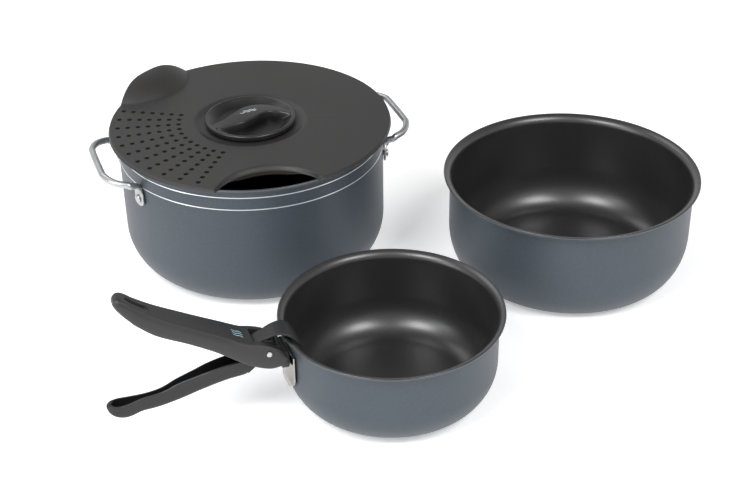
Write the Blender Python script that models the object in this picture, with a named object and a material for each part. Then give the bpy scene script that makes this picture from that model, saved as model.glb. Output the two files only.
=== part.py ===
"""Nesting camp cookware: a lidded pot, a bowl and a small pan held by a clip-on gripper.

Metres, +Z up. The origin is the centre of the pot's base, which stands on the floor plane
together with the bases of the bowl and of the pan.
"""

from math import asin, atan2, cos, degrees, pi, radians, sin, sqrt

import bmesh
import bpy
import numpy as np
from mathutils import Matrix, Vector

# ---------------------------------------------------------------- driving dimensions
MM = 0.001
GAP = 0.3 * MM                # clearance left between pieces that touch
ROUND_STEPS = 52              # facets round a vessel

# height, wall radius, base radius, corner height, rim radius, rim rise, sheet thickness
POT = dict(height=105.9 * MM, wall=100 * MM, base=74 * MM, corner=31.5 * MM,
           rim=102 * MM, rise=3.5 * MM, sheet=1.8 * MM)
BOWL = dict(height=78.6 * MM, wall=90.8 * MM, base=68.8 * MM, corner=34.3 * MM,
            rim=95.6 * MM, rise=5.5 * MM, sheet=1.7 * MM)
PAN = dict(height=62.9 * MM, wall=71.8 * MM, base=49 * MM, corner=26.9 * MM,
           rim=76.1 * MM, rise=5 * MM, sheet=1.6 * MM)
BOWL_PLACE = (0.2406, -0.0311, 0)
PAN_PLACE = (0.1033, -0.1868, 0)

# side handles: bent rod with flattened ends, one rivet through each end
HANDLE_AZIMUTH = radians(19.7)
HANDLE_HALF_SPAN = radians(20.2)
ROD_RADIUS = 2.5 * MM
HANDLE_REACH = 118 * MM
HANDLE_CORNER = (17 * MM, 21 * MM)   # bend at each outer corner: radially, and along the grip
HANDLE_WALL_Z = 91.5 * MM
HANDLE_OUTER_Z = 96 * MM
LUG_TOP_Z = 86.5 * MM
LUG_BOTTOM_Z = 74.5 * MM
LUG_HALF_WIDTH = 5 * MM
LUG_HALF_THICKNESS = 1.1 * MM
RIVET_Z = 80 * MM
RIVET_RADIUS = 2 * MM
RIVET_HEAD_RADIUS = 3.3 * MM

# lid: plate with strainer holes, pouring notch, raised finger tab and a well for the knob
LID_AZIMUTH = radians(211.3)   # middle of the strainer
LID_RADIUS = 106.2 * MM
LID_TOP = 109.3 * MM
LID_UNDER = 106.2 * MM
NOTCH_ANGLE = radians(70)      # notch and tab, each side of the strainer's middle
TAB_ANGLE = radians(67.2)
BITE_CENTRE = 120 * MM         # the circle that outlines both the notch and the tab
BITE_RADIUS = 43 * MM
TAB_RISE = 9 * MM
TAB_SLOPE = 19 * MM
NOTCH_LIP_DEPTH = 2.8 * MM
SKIRT_OUTER = 97.2 * MM
SKIRT_INNER = 94.9 * MM
SKIRT_BOTTOM = 100.6 * MM
DISH_RADIUS = 42.8 * MM        # shallow dish round the knob
DISH_FLOOR = 107.3 * MM
WELL_RADIUS = 31.2 * MM
WELL_FLOOR = 97 * MM
LID_SHEET = 2.4 * MM
HOLE_ROWS = 11
HOLES_IN_ROW = 7
HOLE_ROW_STEP = radians(8.2)
HOLE_FIRST_RADIUS = 53.9 * MM
HOLE_LAST_RADIUS = 99.2 * MM
HOLE_RADIUS = 1.7 * MM

# knob: round insert with a wave-shaped bar to pinch between two finger pockets
KNOB_RADIUS = 34.1 * MM
KNOB_RIM = 112.7 * MM
POCKET_RADIUS = 31 * MM
POCKET_FLOOR = 100.4 * MM
BAR_TOP = 113.9 * MM
SCREW_RADIUS = 2 * MM
SCREW_TIP = 108 * MM

# gripper: its plane is radial to the pan; outward distance is measured from the pan's axis
GRIP_AZIMUTH = radians(-161)
PIN_OUT = 87.8 * MM
PIN_Z = 57.2 * MM
PIN_RADIUS = 1.6 * MM
PIN_HEAD_RADIUS = 1.95 * MM
CHEEK_OUTER = 12.5 * MM
CHEEK_INNER = 7.4 * MM
HUB_HALF_WIDTH = 6 * MM
HUB_SLOT = 2.7 * MM
WEB_END = 96 * MM             # where the upper grip's top web stops and the hook comes out
JAW_INNER = 72.6 * MM
JAW_SHEET = 1.4 * MM
JAW_HALF_ANGLE = radians(10.3)
JAW_BOTTOM = 25 * MM
JAW_TOP = 50.5 * MM
JAW_RIVET_SIDE = 4.6 * MM
JAW_RIVET_DROP = -11.2 * MM      # from the pin down to the two jaw rivets
LINER_SHEET = 0.8 * MM
SPRING_WIRE = 0.45 * MM
SPRING_RADIUS = 2.7 * MM
SPRING_TURNS = 2
SHARP = radians(35)


# ---------------------------------------------------------------- scene, materials, meshes
def clear_scene():
    for obj in list(bpy.data.objects):
        bpy.data.objects.remove(obj, do_unlink=True)


def material(name, colour, roughness, metallic=0.0):
    made = bpy.data.materials.new(name)
    made.use_nodes = True
    shader = made.node_tree.nodes["Principled BSDF"]
    shader.inputs["Base Color"].default_value = (*colour, 1)
    shader.inputs["Roughness"].default_value = roughness
    shader.inputs["Metallic"].default_value = metallic
    return made


def add_empty(name, location, azimuth=0.0, parent=None):
    empty = bpy.data.objects.new(name, None)
    empty.empty_display_size = 0.01
    empty.location = location
    empty.rotation_euler = (0, 0, azimuth)
    empty.parent = parent
    bpy.context.scene.collection.objects.link(empty)
    return empty


def add_object(name, shape, finish=None, parent=None, sharp=SHARP):
    """One object from (vertices, faces), with its faces turned outwards."""
    vertices, faces = shape
    mesh = bpy.data.meshes.new(name)
    mesh.from_pydata([tuple(v) for v in vertices], [], faces)
    edit = bmesh.new()
    edit.from_mesh(mesh)
    bmesh.ops.remove_doubles(edit, verts=edit.verts, dist=1e-7)
    bmesh.ops.triangulate(edit, faces=edit.faces)
    bmesh.ops.recalc_face_normals(edit, faces=edit.faces)
    edit.to_mesh(mesh)
    edit.free()
    mesh.shade_smooth()
    mesh.set_sharp_from_angle(angle=sharp)
    if finish:
        mesh.materials.append(finish)
    made = bpy.data.objects.new(name, mesh)
    made.parent = parent
    bpy.context.scene.collection.objects.link(made)
    return made


def boolean(target, name, shape, operation="DIFFERENCE"):
    """A live Boolean on target, with its tool left in the scene as a hidden wire object."""
    tool = add_object(target.name + "_" + name, shape, parent=target.parent)
    tool.matrix_parent_inverse = target.matrix_parent_inverse
    tool.location = target.location
    tool.rotation_euler = target.rotation_euler
    tool.hide_render = True
    tool.display_type = "WIRE"
    modifier = target.modifiers.new(name, "BOOLEAN")
    modifier.operation = operation
    modifier.solver = "EXACT"
    modifier.object = tool
    return tool


def joined(shapes):
    """Several shapes as one list of vertices and faces."""
    vertices, faces = [], []
    for some_vertices, some_faces in shapes:
        start = len(vertices)
        vertices += [tuple(v) for v in some_vertices]
        faces += [[start + i for i in face] for face in some_faces]
    return vertices, faces


# ---------------------------------------------------------------- basic shapes
def turned(profile, steps=ROUND_STEPS):
    """Turns an (r, z) profile that starts and ends on the axis into a closed solid."""
    vertices = [(0, 0, profile[0][1]), (0, 0, profile[-1][1])]
    rings = []
    for radius, z in profile[1:-1]:
        rings.append(range(len(vertices), len(vertices) + steps))
        for i in range(steps):
            angle = 2 * pi * i / steps
            vertices.append((radius * cos(angle), radius * sin(angle), z))
    faces = []
    for i in range(steps):
        j = (i + 1) % steps
        faces.append([0, rings[0][j], rings[0][i]])
        faces.append([1, rings[-1][i], rings[-1][j]])
        for low, high in zip(rings, rings[1:]):
            faces.append([low[i], low[j], high[j], high[i]])
    return vertices, faces


def rod(start, end, radius, steps=16):
    """A plain cylinder between two points."""
    start, end = Vector(start), Vector(end)
    turn = (end - start).to_track_quat("Z", "Y").to_matrix()
    rings = []
    for centre in (start, end):
        rings.append([centre + turn @ Vector((radius * cos(2 * pi * i / steps),
                                              radius * sin(2 * pi * i / steps), 0))
                      for i in range(steps)])
    return lofted(rings)


def turned_along(profile, start, direction, steps=20):
    """A turned solid whose axis runs from start along direction."""
    turn = Vector(direction).to_track_quat("Z", "Y").to_matrix()
    vertices, faces = turned(profile, steps)
    return [Vector(start) + turn @ Vector(v) for v in vertices], faces


def lofted(rings):
    """Skins equal rings of points one after another and closes both ends."""
    count = len(rings[0])
    vertices = [tuple(point) for ring in rings for point in ring]
    faces = [list(range(count))[::-1], list(range(len(vertices) - count, len(vertices)))]
    for step in range(len(rings) - 1):
        for i in range(count):
            j = (i + 1) % count
            low, high = step * count, (step + 1) * count
            faces.append([low + i, low + j, high + j, high + i])
    return vertices, faces


def swept(points, half_sizes, side=Vector((0, 0, 1)), steps=12):
    """Carries an ellipse of (half width, half thickness) along a path of points."""
    rings = []
    width_axis = None
    for i, point in enumerate(points):
        ahead = Vector(points[min(i + 1, len(points) - 1)]) - Vector(points[max(i - 1, 0)])
        ahead.normalize()
        if width_axis is None:
            width_axis = side - ahead * side.dot(ahead)
        else:
            width_axis = width_axis - ahead * width_axis.dot(ahead)
        width_axis.normalize()
        thickness_axis = ahead.cross(width_axis)
        width, thickness = half_sizes[i]
        rings.append([Vector(point) + width_axis * width * cos(2 * pi * k / steps)
                      + thickness_axis * thickness * sin(2 * pi * k / steps)
                      for k in range(steps)])
    return lofted(rings)


def slab(outline, half_width):
    """An outline of (outward, z) points given a width that may change with its points."""
    near = [(x, half_width(x), z) for x, z in outline]
    far = [(x, -half_width(x), z) for x, z in outline]
    return lofted([far, near])


def box(low, high):
    corners = [(low[0], low[1]), (high[0], low[1]), (high[0], high[1]), (low[0], high[1])]
    return lofted([[(x, y, z) for x, y in corners] for z in (low[2], high[2])])


def smooth_curve(knots, count):
    """Points on a Catmull-Rom curve through knots, count points for each span."""
    knots = [np.array(knot, float) for knot in knots]
    padded = [2 * knots[0] - knots[1]] + knots + [2 * knots[-1] - knots[-2]]
    points = []
    for before, first, second, after in zip(padded, padded[1:], padded[2:], padded[3:]):
        for step in range(count):
            t = step / count
            points.append(0.5 * (2 * first + (second - before) * t
                                 + (2 * before - 5 * first + 4 * second - after) * t ** 2
                                 + (3 * first - before - 3 * second + after) * t ** 3))
    points.append(knots[-1])
    return points


def height_at(outward, line):
    """Straight interpolation on a line of (outward, value) points in rising order."""
    return float(np.interp(outward, [p[0] for p in line], [p[1] for p in line]))


# ---------------------------------------------------------------- vessels
def vessel_profile(height, wall, base, corner, rim, rise, sheet):
    """Half section: flat base, elliptical corner, straight wall, flared and rounded rim."""
    outer = [(0, 0)]
    for step in range(6):
        angle = radians(90) * step / 5
        outer.append((base + (wall - base) * sin(angle), corner * (1 - cos(angle))))
    for step in range(4):
        angle = radians(74) * step / 3
        outer.append((wall + (rim - wall) * (1 - cos(angle)) / (1 - cos(radians(74))),
                      height - rise + (rise - sheet * 0.9) * sin(angle) / sin(radians(74))))
    lip = [(rim, height - sheet * 0.35), (rim - sheet * 0.35, height)]
    inner = [(0, sheet)]
    for step in range(6):
        angle = radians(90) * step / 5
        inner.append((base + (wall - sheet - base) * sin(angle),
                      sheet + (corner - sheet) * (1 - cos(angle))))
    for step in range(3):
        angle = radians(74) * step / 3
        inner.append((wall - sheet + (rim - wall) * (1 - cos(angle)) / (1 - cos(radians(74))),
                      height - rise + rise * sin(angle) / sin(radians(74))))
    return outer + lip + inner[::-1]


def lug_azimuths():
    """The four places on the pot's wall where a handle end is riveted, by name."""
    for side, centre in (("right", HANDLE_AZIMUTH), ("left", HANDLE_AZIMUTH + pi)):
        yield side, "front", centre + (HANDLE_HALF_SPAN if side == "left" else -HANDLE_HALF_SPAN)
        yield side, "back", centre - (HANDLE_HALF_SPAN if side == "left" else -HANDLE_HALF_SPAN)


def radial_rod(azimuth, start, end, z, radius, steps=16):
    direction = Vector((cos(azimuth), sin(azimuth), 0))
    up = Vector((0, 0, z))
    return rod(direction * start + up, direction * end + up, radius, steps)


def make_vessels(outside, inner_axes):
    pot = add_object("pot_body", turned(vessel_profile(**POT)), outside, inner_axes["pot"])
    holes = [radial_rod(azimuth, POT["wall"] - 6 * MM, POT["wall"] + 6 * MM, RIVET_Z,
                        RIVET_RADIUS + GAP) for _, _, azimuth in lug_azimuths()]
    boolean(pot, "rivet_holes", joined(holes))
    add_object("bowl_body", turned(vessel_profile(**BOWL)), outside, inner_axes["bowl"])
    add_object("pan_body", turned(vessel_profile(**PAN)), outside, inner_axes["pan"])


# ---------------------------------------------------------------- side handles
def handle_path(centre):
    """Rod's centre line from one flattened end to the other, with each point's half sizes."""
    lug_radius = POT["wall"] + GAP + LUG_HALF_THICKNESS
    leg_out = lug_radius + 5 * MM
    corner, corner_side = HANDLE_CORNER
    half = []
    for z in (LUG_BOTTOM_Z, LUG_BOTTOM_Z + 1.5 * MM, RIVET_Z, LUG_TOP_Z - 2 * MM):
        half.append((lug_radius, z, HANDLE_HALF_SPAN, LUG_HALF_WIDTH, LUG_HALF_THICKNESS))
    half[0] = (*half[0][:3], LUG_HALF_WIDTH * 0.55, LUG_HALF_THICKNESS)
    for step in range(4):
        angle = radians(90) * step / 3
        blend = min(1, (step + 1) / 3)
        width = LUG_HALF_WIDTH + (ROD_RADIUS - LUG_HALF_WIDTH) * blend
        thick = LUG_HALF_THICKNESS + (ROD_RADIUS - LUG_HALF_THICKNESS) * blend
        half.append((lug_radius + 1.2 * MM * blend + (leg_out - lug_radius - 1.2 * MM)
                     * (1 - cos(angle)), LUG_TOP_Z + (HANDLE_WALL_Z - LUG_TOP_Z) * sin(angle),
                     HANDLE_HALF_SPAN, width, thick))
    points, sizes = [], []
    for radius, z, span, width, thick in half:
        points.append(Vector((radius * cos(span), radius * sin(span), z)))
        sizes.append((width, thick))
    leg_side = points[-1].y
    for step in range(8):
        angle = radians(90) * step / 7
        x = HANDLE_REACH - corner * (1 - sin(angle))
        y = leg_side - corner_side * (1 - cos(angle))
        z = HANDLE_WALL_Z + (HANDLE_OUTER_Z - HANDLE_WALL_Z) * min(1, 0.55 + 0.45 * step / 7)
        points.append(Vector((x, y, z)))
        sizes.append((ROD_RADIUS, ROD_RADIUS))
    mirrored = [Vector((p.x, -p.y, p.z)) for p in points[::-1]]
    turn = Matrix.Rotation(centre, 3, "Z")
    return [turn @ p for p in points + mirrored], sizes + sizes[::-1]


def make_handles(steel, aluminium, pot_axis):
    for side, centre in (("right", HANDLE_AZIMUTH), ("left", HANDLE_AZIMUTH + pi)):
        points, sizes = handle_path(centre)
        start = Vector((cos(centre + HANDLE_HALF_SPAN), sin(centre + HANDLE_HALF_SPAN), 0))
        handle = add_object(side + "_handle",
                            swept(points, sizes, side=start.cross(Vector((0, 0, 1)))),
                            aluminium, pot_axis)
        holes = [radial_rod(azimuth, POT["wall"] - 1 * MM, POT["wall"] + 6 * MM, RIVET_Z,
                            RIVET_RADIUS + GAP) for name, _, azimuth in lug_azimuths()
                 if name == side]
        boolean(handle, "rivet_holes", joined(holes))
    inside = POT["wall"] - POT["sheet"] - GAP
    outside = POT["wall"] + 2 * (GAP + LUG_HALF_THICKNESS)
    for side, end, azimuth in lug_azimuths():
        head = RIVET_HEAD_RADIUS
        profile = [(0, -1.3 * MM), (head * 0.55, -1.1 * MM), (head, -0.3 * MM), (head, 0),
                   (RIVET_RADIUS, 0), (RIVET_RADIUS, outside - inside),
                   (head, outside - inside), (head * 0.9, outside - inside + 0.9 * MM),
                   (head * 0.55, outside - inside + 1.6 * MM), (0, outside - inside + 1.9 * MM)]
        direction = Vector((cos(azimuth), sin(azimuth), 0))
        start = direction * inside + Vector((0, 0, RIVET_Z))
        add_object(f"{side}_handle_{end}_rivet", turned_along(profile, start, direction),
                   steel, pot_axis)


# ---------------------------------------------------------------- lid
def bite_radius(offset):
    """Distance from the lid's axis to the outlining circle, at an angle from its middle."""
    side = BITE_CENTRE * sin(offset)
    if cos(offset) <= 0 or abs(side) >= BITE_RADIUS:
        return LID_RADIUS
    return min(LID_RADIUS, BITE_CENTRE * cos(offset) - sqrt(BITE_RADIUS ** 2 - side ** 2))


def bite_half_angle():
    """Angle at which the outlining circle crosses the lid's edge."""
    along = BITE_CENTRE ** 2 + LID_RADIUS ** 2 - BITE_RADIUS ** 2
    ratio = along / (2 * BITE_CENTRE * LID_RADIUS)
    return radians(90) - asin(ratio)


def lid_angles():
    """Angles round the lid, with a step exactly at each end of the notch and of the tab."""
    half = bite_half_angle()
    marks = [-TAB_ANGLE - half, -TAB_ANGLE + half, NOTCH_ANGLE - half, NOTCH_ANGLE + half,
             2 * pi - TAB_ANGLE - half]
    angles = []
    for first, last in zip(marks, marks[1:]):
        count = max(2, round(degrees(last - first) / 5))
        angles += [first + (last - first) * i / count for i in range(count)]
    return angles


def tab_lift(radius, offset):
    """Height of the finger tab: steep at the circle's edge and level further inside it."""
    reach = sqrt(BITE_CENTRE ** 2 + radius ** 2 - 2 * BITE_CENTRE * radius * cos(offset))
    inside = max(0.0, BITE_RADIUS - reach) / TAB_SLOPE
    return TAB_RISE * (1 - (1 - min(inside, 1)) ** 2.4)


def lid_section(angle):
    """The lid's closed half section at one angle: top from the axis out, then underside in."""
    notch = bite_radius(angle - NOTCH_ANGLE)
    in_notch = notch < LID_RADIUS - 1e-6
    tab_offset = (angle + TAB_ANGLE + pi) % (2 * pi) - pi
    in_tab = abs(tab_offset) < bite_half_angle()
    edge = notch if in_notch else LID_RADIUS
    reach = 74 * MM
    outer = [reach + (edge - reach) * part for part in (0, 0.22, 0.42, 0.6, 0.76, 0.88)]
    lift = (lambda r: tab_lift(r, tab_offset)) if in_tab else (lambda r: 0.0)
    inside_rim = min(1, max(0, (SKIRT_INNER - 6 * MM - edge) / (6 * MM)))
    under_edge = LID_UNDER - NOTCH_LIP_DEPTH * inside_rim
    top = [(2.3 * MM, WELL_FLOOR), (WELL_RADIUS, WELL_FLOOR), (WELL_RADIUS, DISH_FLOOR),
           (39 * MM, DISH_FLOOR), (DISH_RADIUS, LID_TOP), (55 * MM, LID_TOP)]
    top += [(r, LID_TOP + lift(r)) for r in outer]
    top += [(edge - 1.6 * MM, LID_TOP + lift(edge - 1.6 * MM)),
            (edge - 0.5 * MM, LID_TOP - 0.5 * MM + lift(edge)),
            (edge, LID_TOP - 1.4 * MM + lift(edge))]
    under = [(edge, under_edge + 0.6 * MM + lift(edge)),
             (edge - 0.6 * MM, under_edge + lift(edge)),
             (edge - 2.4 * MM, under_edge + lift(edge - 2.4 * MM)),
             (edge - 2.6 * MM, LID_UNDER + lift(edge - 2.6 * MM))]
    with_skirt = not in_notch and not in_tab
    skirt = SKIRT_BOTTOM if with_skirt else LID_UNDER
    if in_notch:
        inner_edge = min(edge - 3 * MM, SKIRT_OUTER)
        steps = [reach + (inner_edge - reach) * part for part in (0.96, 0.92, 0.55, 0.5, 0.2)]
    else:
        steps = [SKIRT_OUTER + 0.2 * MM, SKIRT_OUTER, SKIRT_INNER, SKIRT_INNER - 0.2 * MM, 84 * MM]
    depths = [LID_UNDER, skirt, skirt, LID_UNDER, LID_UNDER]
    under += [(r, depth + lift(r)) for r, depth in zip(steps, depths)]
    under += [(reach, LID_UNDER), (55 * MM, LID_UNDER), (44.5 * MM, LID_UNDER),
              (39.5 * MM, DISH_FLOOR - LID_SHEET),
              (WELL_RADIUS + LID_SHEET, DISH_FLOOR - LID_SHEET),
              (WELL_RADIUS + LID_SHEET, WELL_FLOOR - LID_SHEET),
              (2.3 * MM, WELL_FLOOR - LID_SHEET)]
    return top + under


def lid_shape():
    """Skins the sections round the axis into a ring that closes on itself."""
    angles = lid_angles()
    sections = [lid_section(angle) for angle in angles]
    count = len(sections[0])
    vertices = [(r * cos(angle), r * sin(angle), z)
                for angle, section in zip(angles, sections) for r, z in section]
    faces = []
    for step in range(len(angles)):
        after = (step + 1) % len(angles)
        for i in range(count):
            j = (i + 1) % count
            faces.append([step * count + i, step * count + j, after * count + j,
                          after * count + i])
    return vertices, faces


def strainer_holes():
    shapes = []
    for row in range(HOLE_ROWS):
        angle = (row - (HOLE_ROWS - 1) / 2) * HOLE_ROW_STEP
        for i in range(HOLES_IN_ROW):
            part = i / (HOLES_IN_ROW - 1)
            radius = HOLE_FIRST_RADIUS + (HOLE_LAST_RADIUS - HOLE_FIRST_RADIUS) * part
            foot = (radius * cos(angle), radius * sin(angle), SKIRT_BOTTOM - 2 * MM)
            head = (foot[0], foot[1], LID_TOP + 2 * MM)
            shapes.append(rod(foot, head, HOLE_RADIUS, steps=8))
    return joined(shapes)


def bar_outline():
    """Both edges of the wave-shaped bar, as (x, y) in the pot's frame."""
    front = [(-25.5, -20.5), (-14, -18), (-4, -14.5), (3, -8), (8.3, -1.5), (14, 2.6), (30.8, 2.0)]
    back = [(29.5, 10.0), (18, 15.5), (8.2, 16.8), (0.5, 15.6), (-6, 11.2), (-11.3, 4.0),
            (-19, -6.0), (-29.2, -12.6)]
    edge = smooth_curve(front, 3) + smooth_curve(back, 3)
    return [(x * MM, y * MM) for x, y in edge]


def held_inside(x, y, limit):
    """The point, brought in along its radius to the limit."""
    shrink = min(1, limit / sqrt(x * x + y * y))
    return x * shrink, y * shrink


def knob_shape():
    """Plug with a flange that sits in the lid's dish, hollowed above as a round pocket."""
    under = WELL_FLOOR + GAP
    seat = DISH_FLOOR + GAP
    body = WELL_RADIUS - GAP
    hole = SCREW_RADIUS + GAP
    profile = [(0, SCREW_TIP + GAP), (hole, SCREW_TIP + GAP), (hole, under), (body, under),
               (body, seat), (KNOB_RADIUS - 0.5 * MM, seat), (KNOB_RADIUS, seat + 0.8 * MM),
               (KNOB_RADIUS, KNOB_RIM - 1.3 * MM), (KNOB_RADIUS - 0.9 * MM, KNOB_RIM - 0.3 * MM),
               (KNOB_RADIUS - 2 * MM, KNOB_RIM), (POCKET_RADIUS, KNOB_RIM - 0.9 * MM)]
    for step in range(1, 8):
        radius = POCKET_RADIUS * (1 - step / 8)
        depth = (KNOB_RIM - 0.9 * MM - POCKET_FLOOR) * (1 - (radius / POCKET_RADIUS) ** 2.6)
        profile.append((radius, KNOB_RIM - 0.9 * MM - depth))
    profile.append((0, POCKET_FLOOR))
    return profile


def make_lid(plastic, knob_plastic, steel, axis):
    lid = add_object("lid_plate", lid_shape(), plastic, axis)
    lid.rotation_euler = (0, 0, LID_AZIMUTH)
    boolean(lid, "strainer", strainer_holes())

    # The knob's body is a plain turned plug; its screw hole runs up into the bar.
    profile = knob_shape()
    plug = [(0, WELL_FLOOR + GAP)] + profile[3:]
    knob = add_object("lid_knob", turned(plug, 48), knob_plastic, axis)
    outline = bar_outline()
    levels = [(WELL_FLOOR + 1.2 * MM, WELL_RADIUS - 1.5 * MM),
              (KNOB_RIM - 0.6 * MM, WELL_RADIUS - 1.5 * MM), (BAR_TOP, WELL_RADIUS - 2.5 * MM)]
    rings = [[(*held_inside(x, y, limit), z) for x, y in outline] for z, limit in levels]
    boolean(knob, "bar", lofted(rings), "UNION")
    boolean(knob, "screw_hole", rod((0, 0, WELL_FLOOR - 2 * MM), (0, 0, SCREW_TIP + GAP),
                                    SCREW_RADIUS + GAP))

    seat = WELL_FLOOR - LID_SHEET - GAP
    washer = [(x, y) for x, y in ((SCREW_RADIUS + GAP, seat - 1 * MM), (6 * MM, seat - 1 * MM),
                                  (6 * MM, seat), (SCREW_RADIUS + GAP, seat))]
    add_object("knob_washer", ring(washer, 24), steel, axis)
    head = seat - 1 * MM - GAP
    screw = [(0, head - 1 * MM), (0.9 * MM, head - 1 * MM), (1.2 * MM, head - 2.4 * MM),
             (3.2 * MM, head - 2.2 * MM), (4 * MM, head - 1.2 * MM), (4 * MM, head),
             (SCREW_RADIUS, head), (SCREW_RADIUS, SCREW_TIP - 2.5 * MM), (0, SCREW_TIP)]
    add_object("knob_screw", turned(screw, 20), steel, axis)


def ring(section, steps):
    """Turns a closed section that stays clear of the axis."""
    count = len(section)
    vertices = [(r * cos(2 * pi * i / steps), r * sin(2 * pi * i / steps), z)
                for i in range(steps) for r, z in section]
    faces = []
    for step in range(steps):
        after = (step + 1) % steps
        for i in range(count):
            j = (i + 1) % count
            faces.append([step * count + i, step * count + j, after * count + j,
                          after * count + i])
    return vertices, faces


# ---------------------------------------------------------------- gripper
# All outlines here are (outward, z) in millimetres, outward from the pan's axis.
GRIP_TOP = [(74.6, 50.5), (77.6, 54.8), (82, 59.2), (88, 62.9), (94.8, 65.6), (101.5, 67.6),
            (108, 71.2), (115.3, 75.7), (129, 83.4), (142.3, 91), (155.4, 98.8), (167.3, 107.4),
            (171.5, 110.9), (175.4, 113), (180.2, 113.6)]
GRIP_BOTTOM = [(74.6, 49.0), (78.7, 45.4), (85.7, 44.6), (93.4, 46.8), (102.9, 51.6),
               (112.1, 58.0), (123, 65.8), (139.3, 75.6), (157, 85.2), (168.9, 95.4),
               (172.4, 99.4), (176.8, 104.2), (179.6, 107.4), (181.4, 110.4)]
GRIP_HALF_WIDTH = [(74.6, 12.5), (96, 12.5), (108, 11.9), (129, 11), (155, 9.8), (168, 9),
                   (175, 7.8), (179.5, 6), (181.4, 4)]
LEVER_TOP = [(93, 57), (99, 53.6), (106, 51), (116, 50.2), (126, 48.2), (135, 45.7), (147, 42.2),
             (154, 38.9), (161, 37.1), (171, 36.4), (180, 35.4), (187, 35.4), (192.6, 36)]
LEVER_BOTTOM = [(93, 44.5), (99, 40), (106, 38.6), (113.3, 38), (123, 36.2), (132.7, 33.4),
                (142.5, 30.2), (151.5, 28), (161.7, 26.2), (171.7, 25.8), (178.7, 24.6),
                (184.2, 25.2), (189.4, 27.6), (192.6, 31.5)]
LEVER_HALF_WIDTH = [(93, 6), (116, 5.9), (126, 5.5), (135, 4.5), (147, 3.6), (161, 3.0),
                    (170, 3.0), (177, 4.4), (184, 5.2), (189, 4.7), (192.6, 2.6)]
HOOK_HALF_WIDTH = [(62, 9.6), (66, 11.4), (72, 10.6), (78, 8.2), (84, 6.4), (88, 6)]


def to_pin(points):
    """Outline points in metres, measured from the pivot pin."""
    return [(x * MM - PIN_OUT, z * MM - PIN_Z) for x, z in points]


def grip_ring(outward, channel):
    """Section of the upper grip: an upside-down channel with rounded outer sides."""
    top = height_at(outward, GRIP_TOP)
    bottom = height_at(outward, GRIP_BOTTOM)
    wide = height_at(outward, GRIP_HALF_WIDTH)
    flat = wide - 1.6
    inner = min(CHEEK_INNER / MM, wide - 2.6) if channel else 1.0
    roof = top - (3.2 if channel else 0.75 * (top - bottom))
    roof = max(roof, bottom + 0.4)
    depth = top - bottom
    right = [(flat, top), (flat + 1.0, top - 0.5), (wide, top - 0.38 * depth),
             (wide - 0.5, bottom + 0.22 * depth), (inner + 0.9, bottom), (inner, bottom + 0.3),
             (inner, roof)]
    left = [(-y, z) for y, z in right[::-1]]
    return [(outward * MM - PIN_OUT, y * MM, z * MM - PIN_Z) for y, z in right + left]


def make_upper_grip(plastic, pivot, pan_to_pivot):
    stations = [74.8, 76.5, 79, 82, 86, 90, 95, 100, 106, 113, 122, 131, 140, 149, 158, 166,
                171, 175, 178, 180.4, 182]
    rings = [grip_ring(x, channel=True) for x in stations]
    grip = add_object("gripper_upper_grip", lofted(rings), plastic, pivot)
    carrier_low, carrier_high = 41.5, 55.4
    block = box((-15.5 * MM, -CHEEK_OUTER + 0.6 * MM, carrier_low * MM - PIN_Z),
                (-8.2 * MM, CHEEK_OUTER - 0.6 * MM, carrier_high * MM - PIN_Z))
    boolean(grip, "jaw_carrier", block, "UNION")
    window = to_pin([(60, 80), (60, 56.2), (80, 56.2), (80, 40), (WEB_END / MM, 40),
                     (WEB_END / MM - 1.5, 80)])
    boolean(grip, "fork_window", slab(window, lambda x: CHEEK_INNER))
    pan_wall = turned([(0, -60 * MM), (JAW_INNER + JAW_SHEET + GAP, -60 * MM),
                       (JAW_INNER + JAW_SHEET + GAP, 20 * MM), (0, 20 * MM)], 64)
    boolean(grip, "pan_clearance",
            ([Vector(v) - Vector((pan_to_pivot, 0, 0)) for v in pan_wall[0]], pan_wall[1]))
    slot = to_pin([(158.5, 90), (174.5, 103), (174.5, 135), (158.5, 125)])
    boolean(grip, "hanging_slot", slab(slot, lambda x: 2.6 * MM))
    boolean(grip, "pin_hole", rod((0, -20 * MM, 0), (0, 20 * MM, 0), PIN_RADIUS + GAP))
    holes = [rod((-18 * MM, y, JAW_RIVET_DROP), (-4 * MM, y, JAW_RIVET_DROP), 1.5 * MM + GAP)
             for y in (-JAW_RIVET_SIDE, JAW_RIVET_SIDE)]
    boolean(grip, "jaw_rivet_holes", joined(holes))


def channel_ring(outward):
    """Section of the lower lever: a channel open upwards."""
    top = height_at(outward, LEVER_TOP)
    bottom = height_at(outward, LEVER_BOTTOM)
    wide = height_at(outward, LEVER_HALF_WIDTH)
    inner = wide - 1.5
    floor = bottom + 2.4
    outside = [(wide - 0.5, top), (wide, top - 0.8), (wide, bottom + 2.2), (wide * 0.55, bottom)]
    inside = [(inner * 0.6, floor), (inner, floor + 1.6), (inner, top)]
    section = outside + [(-y, z) for y, z in outside[::-1]]
    section += [(-y, z) for y, z in inside[::-1]] + inside
    return [(outward * MM - PIN_OUT, y * MM, z * MM - PIN_Z) for y, z in section]


def hub_outline():
    """Plan of the lever's hub and hook in the gripper's plane."""
    heel = [(101, 40.4), (101, 52.8), (97.2, 57.4), (95, 60.5)]
    crown = [(93, 63.9), (89.5, 65.6), (85.5, 67.1), (81.5, 68), (77.5, 68.2), (73.8, 67.4),
             (70.6, 65.4), (67.9, 62.4), (65.8, 59), (64.6, 56.0)]
    tip = [(66.1, 55.6), (67.1, 57.4)]
    palm = [(68.5, 60.9), (70.8, 63.7), (74, 65.6), (77.6, 66.1), (80.4, 65.3), (81.4, 62.4)]
    hub = []
    for step in range(7):
        angle = radians(150 + 20 * step)
        hub.append((87.8 + 6.3 * cos(angle), 57.2 + 6.3 * sin(angle)))
    return heel + crown + tip + palm + hub


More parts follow.
